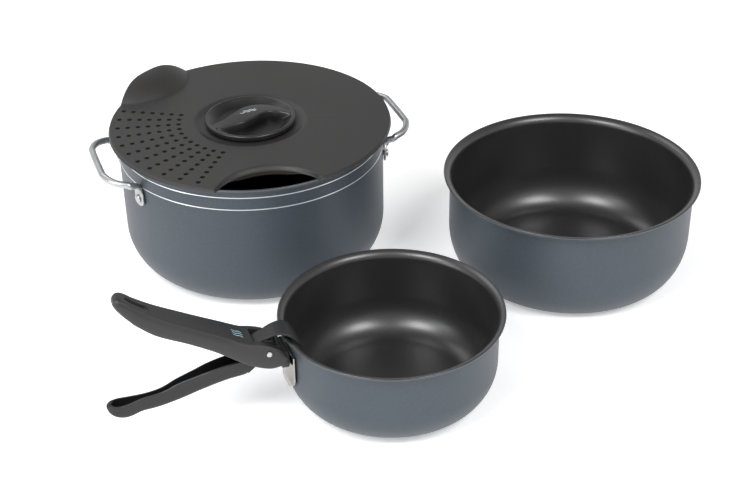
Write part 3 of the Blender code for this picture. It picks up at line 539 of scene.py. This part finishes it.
def lidPoints():
    # a closed section, top from the axis out and underside back in, turned round the axis;
    # a circle near the rim outlines the pouring notch on one side and the finger tab opposite
    d = lid
    side = (d["biteCentre"] ** 2 + d["radius"] ** 2 - d["biteRadius"] ** 2)
    half = np.arccos(side / (2 * d["biteCentre"] * d["radius"]))
    notchAt, tabAt = np.radians(d["notch"]), np.radians(d["tab"])
    marks = np.array([-tabAt - half, -tabAt + half, notchAt - half, notchAt + half,
                      2 * np.pi - tabAt - half])
    counts = (96, 170, 96, 250)
    t = np.concatenate([np.linspace(a, b, n, endpoint=False)
                        for a, b, n in zip(marks, marks[1:], counts)])[:, None]

    def bite(offset):
        off = (offset + np.pi) % (2 * np.pi) - np.pi
        across = d["biteCentre"] * np.sin(off)
        hit = (np.abs(off) < half + 1e-9)
        reach = d["biteCentre"] * np.cos(off) - np.sqrt(
            np.clip(d["biteRadius"] ** 2 - across ** 2, 0, None))
        return np.where(hit, np.minimum(d["radius"], reach), d["radius"]), hit, off

    edge, inNotch, _ = bite(t - notchAt)
    _, inTab, tabOff = bite(t + tabAt)

    def lift(r):
        reach = np.sqrt(np.clip(d["biteCentre"] ** 2 + r ** 2
                                - 2 * d["biteCentre"] * r * np.cos(tabOff), 0, None))
        rise = np.clip((d["biteRadius"] - reach) / d["tabSlope"], 0, 1)
        return np.where(inTab, d["tabRise"] * (1 - (1 - rise) ** d["tabPower"]), 0)

    notch = inNotch.astype(float)
    reach = 72.0
    well = np.array([2.3, 30.9, 31.2, 31.2, 31.5, 36.5])
    wellZ = np.array([d["wellFloor"], d["wellFloor"], d["wellFloor"] + 0.3,
                      d["dishFloor"] - 0.3, d["dishFloor"], d["dishFloor"]])
    slope = np.linspace(37.5, d["dish"] + 0.4, 12)
    slopeZ = d["dishFloor"] + (d["top"] - d["dishFloor"]) * smoothStep((slope - 37.5) / 5.7)
    flat = np.array([46.0, 50.0, 56.0, 62.0, 68.0])
    inR = np.concatenate([well, slope, flat]) + 0 * t
    inZ = np.concatenate([wellZ, slopeZ, flat * 0 + d["top"]]) + 0 * t
    part = 1 - (1 - np.linspace(0, 1, 26)[None, :-1]) ** 1.5
    outR = reach + (edge - 0.55 - reach) * part
    away = edge - outR
    roundOff = 1.5 - np.sqrt(np.clip(1.5 ** 2 - np.clip(1.5 - away, 0, 1.5) ** 2, 0, None))
    rollOff = 2.9 * (1 - smoothStep(away / 5.5)) ** 1.3
    outZ = d["top"] + lift(outR) - np.where(inNotch, rollOff, roundOff)
    sideR = np.array([-0.5, -0.42, -0.6, -0.55, -0.25, -0.02, 0.0, -0.12, -0.5])
    sideZ = np.array([-0.95, -1.3, -1.5, -1.68, -1.95, -2.25, -2.55, -2.85, -3.1])
    inRim = smoothStep((91.5 - edge) / 11)
    lipZ = -2.95 - np.linspace(0, 1, 9) * (0.15 + d["lipDrop"] * inRim)
    edgeR = edge + sideR * (1 - 0.7 * notch)
    edgeZ = d["top"] + lift(edge) + np.where(inNotch, lipZ, sideZ)
    underR = edge - np.array([1.0, 2.0, 2.6])
    underZ = d["under"] - 2.8 * inRim * notch * np.array([1, 0.96, 0]) + lift(underR)
    rimR = np.minimum(edge - 4.0, d["skirtOuter"] + 0.3)
    withSkirt = ~(inNotch | inTab)
    skirt = np.where(withSkirt, d["skirtBottom"], d["under"])
    stepR = rimR - np.array([0.0, 0.3, 0.6, 2.2, 2.5, 2.8, 8.0])
    stepZ = np.array([0, 0, 1, 1, 0, 0, 0]) * (skirt - d["under"]) + d["under"] + lift(stepR)
    inner = np.array([70.0, 56.0, 44.8, 39.0, 33.8, 33.6, 33.2, 2.3])
    low = d["dishFloor"] - d["sheet"]
    innerZ = np.array([d["under"], d["under"], d["under"], low, low, low - 0.3,
                       d["wellFloor"] - d["sheet"], d["wellFloor"] - d["sheet"]])
    r = np.hstack([inR, outR, edgeR, underR, stepR, inner + 0 * t])
    z = np.hstack([inZ, outZ, edgeZ, underZ, stepZ, innerZ + 0 * t])
    t = t + np.radians(d["azimuth"])
    return np.stack([r * np.cos(t), r * np.sin(t), z], axis=2)


def holeShapes():
    # one closed shape that holds every strainer hole: small upright columns in a fan
    d = lid
    rows = (np.arange(d["rows"]) - (d["rows"] - 1) / 2) * np.radians(d["rowStep"])
    radii = np.linspace(d["firstHole"], d["lastHole"], d["holes"])
    a, r = (g.reshape(-1) for g in np.meshgrid(rows + np.radians(d["azimuth"]), radii))
    t = np.arange(20) * 2 * np.pi / 20
    points, faces = [], []
    for k in range(len(a)):
        x, y = r[k] * np.cos(a[k]), r[k] * np.sin(a[k])
        ring = np.stack([x + d["holeRadius"] * np.cos(t), y + d["holeRadius"] * np.sin(t)], axis=1)
        column = np.stack([np.hstack([ring, np.full((20, 1), z)]) for z in (98.0, 112.0)])
        some, blocks = loft(column * mm)
        faces += [block + len(points) * len(some) for block in blocks]
        points.append(some)
    return np.vstack(points), faces


grid = lidPoints() * mm
lidPiece = newPiece("lid_cover", grid.reshape(-1, 3),
                    [gridFaces(grid.shape[0], grid.shape[1], True)], "lid", ["lid_plate"],
                    finishes["lid"], 38)
cut(lidPiece, [holeShapes()])
print("lid made")


# ---- knob

knob = {"rim": 112.7, "pocket": 31.0, "floor": 101.2, "crown": 114.9,
        "foot": 107.7, "wall": 1.3, "turn": 21.0,
        "front": [(-24.0, -20.4), (-14, -18.2), (-4, -14.5), (3, -8), (8.3, -1.5), (14, 2.9),
                  (22, 4.0), (31, 2.0)],
        "back": [(-31, -14.2), (-27.6, -12.2), (-19, -6.4), (-11.3, 4.3), (-6, 11.4), (0.5, 15.4),
                 (8.2, 16.8), (18, 15.0), (29.5, 9.4)]}


def knobPoints():
    # a height over each point of a disc: a round pocket, and inside the bar's two wavy edges
    # an eased step up to the crowned bar; the rim, side and flat underside close it
    d = knob
    c, s = np.cos(np.radians(d["turn"])), np.sin(np.radians(d["turn"]))
    turn = np.array([[c, -s], [s, c]])
    t = np.arange(420) * 2 * np.pi / 420
    r = (d["pocket"] * (np.linspace(0, 1, 130)) ** 0.9)[:, None]
    x, y = r * np.cos(t), r * np.sin(t)
    u, v = c * x + s * y, c * y - s * x
    front = spline(np.array(d["front"]) @ turn, 12)
    back = spline(np.array(d["back"]) @ turn, 12)
    low = np.interp(u, front[:, 0], front[:, 1])
    high = np.interp(u, back[:, 0], back[:, 1])
    onBar = smoothStep((v - low) / d["wall"]) * smoothStep((high - v) / d["wall"])
    hollow = d["rim"] - 0.9 - (d["rim"] - 0.9 - d["floor"]) * (1 - (r / d["pocket"]) ** 2.4)
    crown = d["rim"] - 0.5 + (d["crown"] - d["rim"] + 0.5) * (1 - (r / d["pocket"]) ** 2)
    edgeDrop = 0.35 * (1 - smoothStep((v - low - 0.6) / 1.4))
    z = hollow + (crown - edgeDrop - hollow) * onBar
    a = np.linspace(-0.25 * np.pi, 0.62 * np.pi, 16)[:, None]
    rimR = 32.6 + 1.5 * np.sin(a) + 0 * t
    rimZ = d["rim"] - 1.5 + 1.5 * np.cos(a) + 0 * t
    sideR = np.array([34.05, 34.0, 33.7, 33.2, 20.0, 0.0])[:, None] + 0 * t
    sideZ = np.array([110.4, 108.6, 107.9, d["foot"], d["foot"], d["foot"]])[:, None] + 0 * t
    allR, allZ = np.vstack([r + 0 * t, rimR, sideR]), np.vstack([z, rimZ, sideZ])
    return np.stack([allR * np.cos(t), allR * np.sin(t), allZ], axis=2)


grid = knobPoints() * mm
newPiece("knob_top", grid.reshape(-1, 3), [gridFaces(grid.shape[0], grid.shape[1])], "lid",
         ["lid_knob"], finishes["knob"], 55)
plug = np.array([[0, 107.4], [30.7, 107.4], [30.9, 107.2], [30.9, 97.6], [30.6, 97.3],
                 [0, 97.3]]) * mm
points, faces = turned(plug, 96)
newPiece("knob_plug", points, faces, "lid", [], finishes["knob"])
print("knob made")


# ---- gripper

def inPlane(out, across, up):
    # places points given outward from the pan's axis, across to the near side, and up
    out, across, up = np.broadcast_arrays(out, across, up)
    return (panPlace + mm * (out[..., None] * outward + across[..., None] * nearSide)
            + mm * up[..., None] * np.array((0, 0, 1.0)))


def valueAt(line, x):
    # smooth line through (outward, value) knots, read at each x
    smooth = spline(np.array(line, float), 12)
    return np.interp(x, smooth[:, 0], smooth[:, 1])


def rounded(knots, count=5):
    # the knots are (y, z) arrays over all stations; splines every station's section at once
    many = np.array([np.stack([np.broadcast_to(y, knots[0][1].shape), z], axis=1).reshape(-1)
                     for y, z in knots])
    smooth = spline(many, count)
    return smooth.reshape(len(smooth), -1, 2).transpose(1, 0, 2)


def mirrored(rightHalf):
    # right halves of the sections, joined to their mirror images as closed loops
    left = rightHalf[:, 1:-1][:, ::-1] * (-1, 1)
    return np.concatenate([rightHalf, left], axis=1)


upperGrip = {
    "top": [(74.3, 49.6), (74.7, 51.2), (75.7, 53.0), (77.6, 55.2), (82, 59.2), (88, 62.9),
            (94.8, 65.6), (101.5, 67.6), (108, 71.2), (115.3, 75.7), (129, 83.4), (142.3, 91),
            (155.4, 98.8), (167.3, 107.3), (171.5, 111.1), (175.4, 114.2), (178.6, 115.4),
            (180.6, 114.6), (181.6, 112.4)],
    "bottom": [(74.3, 49.2), (74.7, 48.0), (76, 46.6), (78.7, 45.2), (85.7, 44.4), (93.4, 46.8),
               (102.9, 51.9), (112.1, 58.5), (123, 66.4), (139.3, 76.2), (157, 85.6),
               (168.9, 95.4), (172.4, 99.2), (176.8, 104.2), (179.6, 107.6), (181.0, 109.8),
               (181.6, 111.0)],
    "wide": [(74.3, 11.4), (75.5, 12.2), (78, 12.5), (96, 12.5), (108, 12.0), (129, 11.2),
             (155, 10.0), (168, 9.1), (174, 8.2), (178, 6.8), (180.4, 5.2), (181.6, 3.4)],
    "flat": [(74.3, 11.0), (88, 11.6), (102, 11.3), (108, 11.0), (116, 10.2), (129, 9.7),
             (142, 9.3), (155, 8.7), (167, 7.8), (174, 6.8), (178, 5.2), (180.4, 3.4),
             (181.6, 2.0)],
    "cheekInner": 7.4, "roof": 3.2,
}


def makeUpperGrip():
    # sections along the arm, each a smooth closed line from its flat top down the side and up
    # into the channel below, mirrored; then the hook's window, the hanging slot and the pan's
    # wall are taken away
    d = upperGrip
    x = np.concatenate([74.3 + 3.7 * np.linspace(0, 1, 12)[:-1] ** 2, np.linspace(78, 176, 76),
                        181.6 - 5.6 * (1 - np.linspace(0, 1, 16)[1:]) ** 2])
    top, bottom = valueAt(d["top"], x), valueAt(d["bottom"], x)
    wide, flat = valueAt(d["wide"], x), valueAt(d["flat"], x)
    flat = np.minimum(flat, wide - 0.4)
    deep = top - bottom
    hollow = smoothStep((x - 75.5) / 3) * (1 - smoothStep((x - 172) / 5))
    inner = np.minimum(d["cheekInner"], np.maximum(wide - 2.4, 0.3))
    roof = top - d["roof"]
    roof = bottom + (np.maximum(roof, bottom + 0.3) - bottom) * (0.04 + 0.96 * hollow)
    soft = np.minimum(1.0, deep * 0.12)
    right = rounded([(0 * flat, top + 0.25), (flat * 0.5, top + 0.2), (flat - 1.3, top + 0.05),
                     (flat - 0.35, top - 0.12 * soft), (flat + 0.15, top - 0.55 * soft),
                     (wide - 0.35, top - 0.24 * deep), (wide, top - 0.46 * deep),
                     (wide - 0.15, bottom + 0.26 * deep), (wide - 0.8, bottom + 0.8 * soft),
                     (wide - 1.7, bottom + 0.1 * soft), (inner + 0.7, bottom),
                     (inner + 0.1, bottom + 0.3 * soft), (inner, 0.75 * bottom + 0.25 * roof),
                     (inner, 0.2 * bottom + 0.8 * roof), (inner - 0.4, roof),
                     (inner * 0.5, roof), (0 * flat, roof)])
    rings = mirrored(right)
    points, faces = loft(inPlane(x[:, None], rings[..., 0], rings[..., 1]))
    # mask of a painted highlight along the top edge lines, passed to the finish as "side"
    creaseHighlight = np.hypot(np.abs(rings[..., 0]) - flat[:, None], rings[..., 1] - top[:, None] + 0.3)
    creaseHighlight = np.exp(-(creaseHighlight / 0.62) ** 2).reshape(-1)
    piece = newPiece("grip_arm", points, faces, "gripper", ["gripper_upper_grip"],
                     finishes["grip"], 42, side=np.append(creaseHighlight, (0, 0)))
    outline = np.array([(60, 80), (60, 56.2), (79.6, 56.2), (79.6, 40), (96.4, 40), (95.8, 55),
                        (96.8, 66), (94.4, 80)])
    window = np.stack([inPlane(outline[:, 0], y, outline[:, 1])
                       for y in (-d["cheekInner"], d["cheekInner"])])
    tilt = np.radians(36.3)
    t = np.arange(28) * 2 * np.pi / 28
    s = 2.4 * np.cos(t) + 6.4 * np.sign(np.cos(t) + 1e-9)
    y = 2.4 * np.sin(t) * (1 - 0.012 * (s + 8))
    slot = np.stack([inPlane(166 + s * np.cos(tilt) - h * np.sin(tilt), y,
                             109.1 + s * np.sin(tilt) + h * np.cos(tilt)) for h in (-6, 7)])
    wallT = np.arange(96) * 2 * np.pi / 96
    wall = np.stack([np.stack([74.3 * np.cos(wallT), 74.3 * np.sin(wallT), 0 * wallT + z], axis=1)
                     for z in (-2, 90)]) * mm + panPlace
    cut(piece, [loft(window), loft(slot), loft(wall)])


def makeGripNose():
    # the black block between the fork's cheeks and the pan, its front bent to the pan's wall
    y = 11.9 * np.sin(np.linspace(-np.pi / 2, np.pi / 2, 30))
    squeeze = np.sqrt(np.clip(1 - (np.abs(y) / 12.2) ** 8, 0.02, 1))
    t = np.arange(36) * 2 * np.pi / 36
    c = np.sign(np.cos(t)) * np.abs(np.cos(t)) ** 0.35
    s = np.sign(np.sin(t)) * np.abs(np.sin(t)) ** 0.35
    front = np.sqrt(74.35 ** 2 - y ** 2)
    middle, half = (front + 79.8) / 2, (79.8 - front) / 2
    rings = inPlane(middle[:, None] + (half * squeeze)[:, None] * c, y[:, None],
                    48.4 + (6.9 * squeeze)[:, None] * s)
    points, faces = loft(rings)
    newPiece("grip_nose", points, faces, "gripper", [], finishes["grip"])


lever = {
    "top": [(97.5, 53.9), (102, 52.2), (106, 51), (116, 50.0), (126, 48.0), (135, 45.6),
            (147, 42.2), (154, 39.2), (161, 37.4), (171, 36.5), (180, 35.5), (187, 35.4),
            (191.5, 35.0), (193.2, 34.2)],
    "bottom": [(97.5, 42.4), (102, 39.3), (106, 38.6), (113.3, 38), (123, 36.2), (132.7, 33.4),
               (142.5, 30.2), (151.5, 28), (161.7, 26.3), (171.7, 25.8), (178.7, 24.6),
               (184.2, 25.2), (189.4, 27.6), (192.2, 30.6), (193.2, 33.0)],
    "wide": [(97.5, 6.0), (116, 5.9), (126, 5.5), (135, 4.5), (147, 3.6), (161, 3.0), (170, 3.0),
             (177, 4.3), (184, 5.3), (189, 4.8), (192, 3.2), (193.2, 1.6)],
    "wall": 1.3, "floor": 2.4,
}


def makeLever():
    # an arm open along its top, made from sections as the grip is, and a hub round the pin
    d = lever
    x = np.concatenate([np.linspace(97.5, 184, 84),
                        193.2 - 9.2 * (1 - np.linspace(0, 1, 26)[1:]) ** 1.6])
    top, bottom, wide = (valueAt(d[key], x) for key in ("top", "bottom", "wide"))
    shut = smoothStep((x - 187.6) / 3.2)
    inner = np.maximum(wide - d["wall"], 0.3) * (1 - 0.9 * shut)
    floor = bottom + d["floor"] + (top - 0.05 - bottom - d["floor"]) * shut
    deep = top - bottom
    right = rounded([(0 * x, bottom), (wide * 0.45, bottom + 0.02 * deep),
                     (wide * 0.86, bottom + 0.10 * deep), (wide, bottom + 0.28 * deep),
                     (wide, top - 0.30 * deep), (wide - 0.02, top - 0.7), (wide - 0.25, top - 0.12),
                     (wide - 0.65, top + 0.05), (inner + 0.12, top - 0.1), (inner, top - 0.5),
                     (inner, 0.5 * top + 0.5 * floor), (inner * 0.93, 0.85 * floor + 0.15 * top),
                     (inner * 0.6, floor), (0 * x, floor)])
    rings = mirrored(right)
    points, faces = loft(inPlane(x[:, None], rings[..., 0], rings[..., 1]))
    # mask of a painted highlight along the top edge lines, passed to the finish as "side"
    creaseHighlight = np.hypot(np.abs(rings[..., 0]) - wide[:, None] + 0.4, rings[..., 1] - top[:, None])
    creaseHighlight = np.exp(-(creaseHighlight / 0.6) ** 2).reshape(-1)
    newPiece("lever_arm", points, faces, "lever", ["gripper_lever"], finishes["lever"],
             42, side=np.append(creaseHighlight, (0, 0)))
    t = np.linspace(np.radians(150), np.radians(270), 14)
    hub = np.stack([87.8 + 6.2 * np.cos(t), 57.2 + 6.2 * np.sin(t)], axis=1)
    outline = np.vstack([[(101, 40.6), (101, 52.6), (97.2, 57.4), (95, 60.4), (92, 62.6),
                          (88, 63.4), (84, 62.6)], hub])
    rings = np.stack([inPlane(outline[:, 0], y, outline[:, 1]) for y in (-5.9, 5.9)])
    points, faces = loft(rings)
    hubPiece = newPiece("lever_hub", points, faces, "lever", [], finishes["lever"],
                        30)
    bevel = hubPiece.modifiers.new("edges", "BEVEL")
    bevel.width = 0.0004
    bevel.segments = 2


hook = {
    "line": [(101, 58.6), (97, 60.8), (93, 62.6), (90, 63.8), (87, 64.9), (84.5, 66.0),
             (81.5, 66.9), (78, 67.1), (75.0, 66.6), (72.2, 65.1), (69.8, 62.8), (67.6, 60.0),
             (66.1, 57.4), (65.3, 55.4)],
    "wide": [5.6, 5.8, 5.9, 5.9, 6.0, 6.25, 6.7, 7.6, 8.7, 9.8, 10.9, 11.7, 11.7, 10.6],
    "thick": [1.2, 1.3, 1.3, 1.25, 1.2, 1.15, 1.1, 1.1, 1.05, 1.05, 1.0, 0.95, 0.8, 0.55],
}


def makeHook():
    # a flat strap carried along a line over the pan's rim, widening towards its tip
    knots = np.column_stack([hook["line"], hook["wide"], hook["thick"]])
    smooth = spline(knots, 8)
    path = inPlane(smooth[:, 0], 0 * smooth[:, 0], smooth[:, 1])
    ahead = np.gradient(path, axis=0)
    thickWay = np.cross(ahead, nearSide)
    rings = swept(path, smooth[:, 2] * mm, smooth[:, 3] * mm, thickWay, 44, 5.0)
    points, faces = loft(rings)
    newPiece("lever_hook", points, faces, "lever", [], finishes["lever"], 42)


def makeJaw():
    # thin plate on an arc round the pan's axis, its lower corners rounded and its lip flared
    z = 24.9 + 25.6 * np.linspace(0, 1, 46) ** 1.4
    low = np.clip((33 - z) / 8.3, 0, 1)
    half = np.radians(10.4) * (1 - 0.62 * (1 - np.sqrt(1 - low ** 2 * 0.999)))
    flare = 1.1 * smoothStep((28.5 - z) / 3.6)
    a = np.linspace(-1, 1, 33)
    bend = np.linspace(0, np.pi, 9)[1:-1]
    inner, outer = 72.6 + flare, 74.0 + flare
    half2 = half[:, None]
    around = np.hstack([half2 * a, half2 + 0.010 * np.sin(bend), half2 * a[::-1],
                        -half2 - 0.010 * np.sin(bend)])
    middle, thick = ((inner + outer) / 2)[:, None], ((outer - inner) / 2)[:, None]
    radius = np.hstack([inner[:, None] + 0 * a, middle - thick * np.cos(bend),
                        outer[:, None] + 0 * a, middle + thick * np.cos(bend)])
    rings = inPlane(radius * np.cos(around), radius * np.sin(around), z[:, None])
    points, faces = loft(rings)
    newPiece("jaw_plate", points, faces, "gripper", ["gripper_jaw_plate"], finishes["chrome"],
             45)


def makePin():
    # half a headed pin, mirrored and turned round the hinge line
    dome = np.linspace(0, np.pi / 2, 9)
    head = np.stack([1.9 * np.cos(dome), 12.95 + 0.5 * np.sin(dome)], axis=1)
    half = np.vstack([[(1.6, 0.0), (1.6, 12.8), (1.85, 12.8)], head])
    half[-1, 0] = 0
    profile = np.vstack([half[::-1] * (1, -1), half[1:]])
    points, faces = turned(profile, 40)
    points = inPlane(87.8 + points[:, 0], points[:, 2], 57.2 + points[:, 1])
    newPiece("pivot_pin_heads", points, faces, "gripper", ["gripper_pivot_pin"],
             finishes["steel"], 35)


makeUpperGrip()
makeGripNose()
makeLever()
makeHook()
makeJaw()
makePin()
for node in ("knob_screw", "knob_washer", "gripper_hook_liner", "gripper_liner_rivet",
             "gripper_jaw_near_rivet", "gripper_jaw_far_rivet", "gripper_spring"):
    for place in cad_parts[node].material_slots:
        place.material = finishes["steel"]
print("gripper made")


# ---- floor, light and camera

def addLight(name, place, target, size, power, colour):
    data = bpy.data.lights.new(name, "AREA")
    data.shape = "RECTANGLE"
    data.size, data.size_y = size
    data.energy = power
    data.color = colour
    lamp = bpy.data.objects.new(name, data)
    lamp.location = place
    lamp.rotation_euler = (Vector(target) - Vector(place)).to_track_quat("-Z", "Y").to_euler()
    bpy.context.scene.collection.objects.link(lamp)


def makeStudio():
    # a plain pale floor, a world that pales towards the horizon, and four soft lamps
    points = np.array([(-8, -8, -0.0006), (8, -8, -0.0006), (8, 8, -0.0006), (-8, 8, -0.0006)])
    mesh = bpy.data.meshes.new("floor")
    mesh.from_pydata(points.tolist(), [], [(0, 1, 2, 3)])
    made, start, join = newFinish("paleFloor", Roughness=0.75, Specular_IOR_Level=0.2,
                                  Emission_Color=(1, 1, 1, 1), Emission_Strength=0.35)
    at = start.node("TexCoord", output="Object")
    join("Base Color", noise(start, at, 2.0).rise(0.2, 0.8).mixed((0.90, 0.90, 0.90, 1),
                                                                  (0.92, 0.92, 0.92, 1)))
    mesh.materials.append(made)
    floor = bpy.data.objects.new("floor", mesh)
    bpy.context.scene.collection.objects.link(floor)
    world = bpy.data.worlds.new("studio")
    world.use_nodes = True
    sky = Wire(world.node_tree)
    height = sky.node("SeparateXYZ", None, {0: sky.node("TexCoord", output="Generated")}, output=2)
    glow = height.rise(0.15, 0.85).mixed((0.80, 0.80, 0.80, 1), (0.24, 0.24, 0.25, 1))
    world.node_tree.links.new(glow.out, world.node_tree.nodes["Background"].inputs["Color"])
    bpy.context.scene.world = world
    addLight("leftSoft", (-0.62, -0.95, 1.35), (0.1, -0.05, 0.04), (0.55, 0.6), 17, (1, 1, 1))
    addLight("rightSoft", (0.85, -0.90, 1.35), (0.1, -0.05, 0.04), (0.55, 0.6), 15, (1, 1, 1))
    addLight("backSoft", (-0.9, 0.9, 1.5), (0.0, 0.0, 0.08), (1.2, 0.8), 7, (1, 1, 1))
    addLight("leftFront", (-1.3, -0.9, 0.7), (0.0, 0.0, 0.05), (0.6, 0.9), 6, (0.96, 0.98, 1))
    bpy.context.scene.view_settings.view_transform = "Standard"


camera = {"place": (0.09285738, -0.97269084, 0.60919533), "down": 32.352, "roll": -0.7617,
          "lens": 69.24}


def makeCamera():
    data = bpy.data.cameras.new("camera")
    data.lens = camera["lens"]
    data.sensor_width = 36
    made = bpy.data.objects.new("camera", data)
    made.matrix_world = (Matrix.Translation(camera["place"])
                         @ Matrix.Rotation(np.radians(90 - camera["down"]), 4, "X")
                         @ Matrix.Rotation(np.radians(camera["roll"]), 4, "Z"))
    bpy.context.scene.collection.objects.link(made)
    bpy.context.scene.camera = made


makeStudio()
makeCamera()
print("studio and camera made")
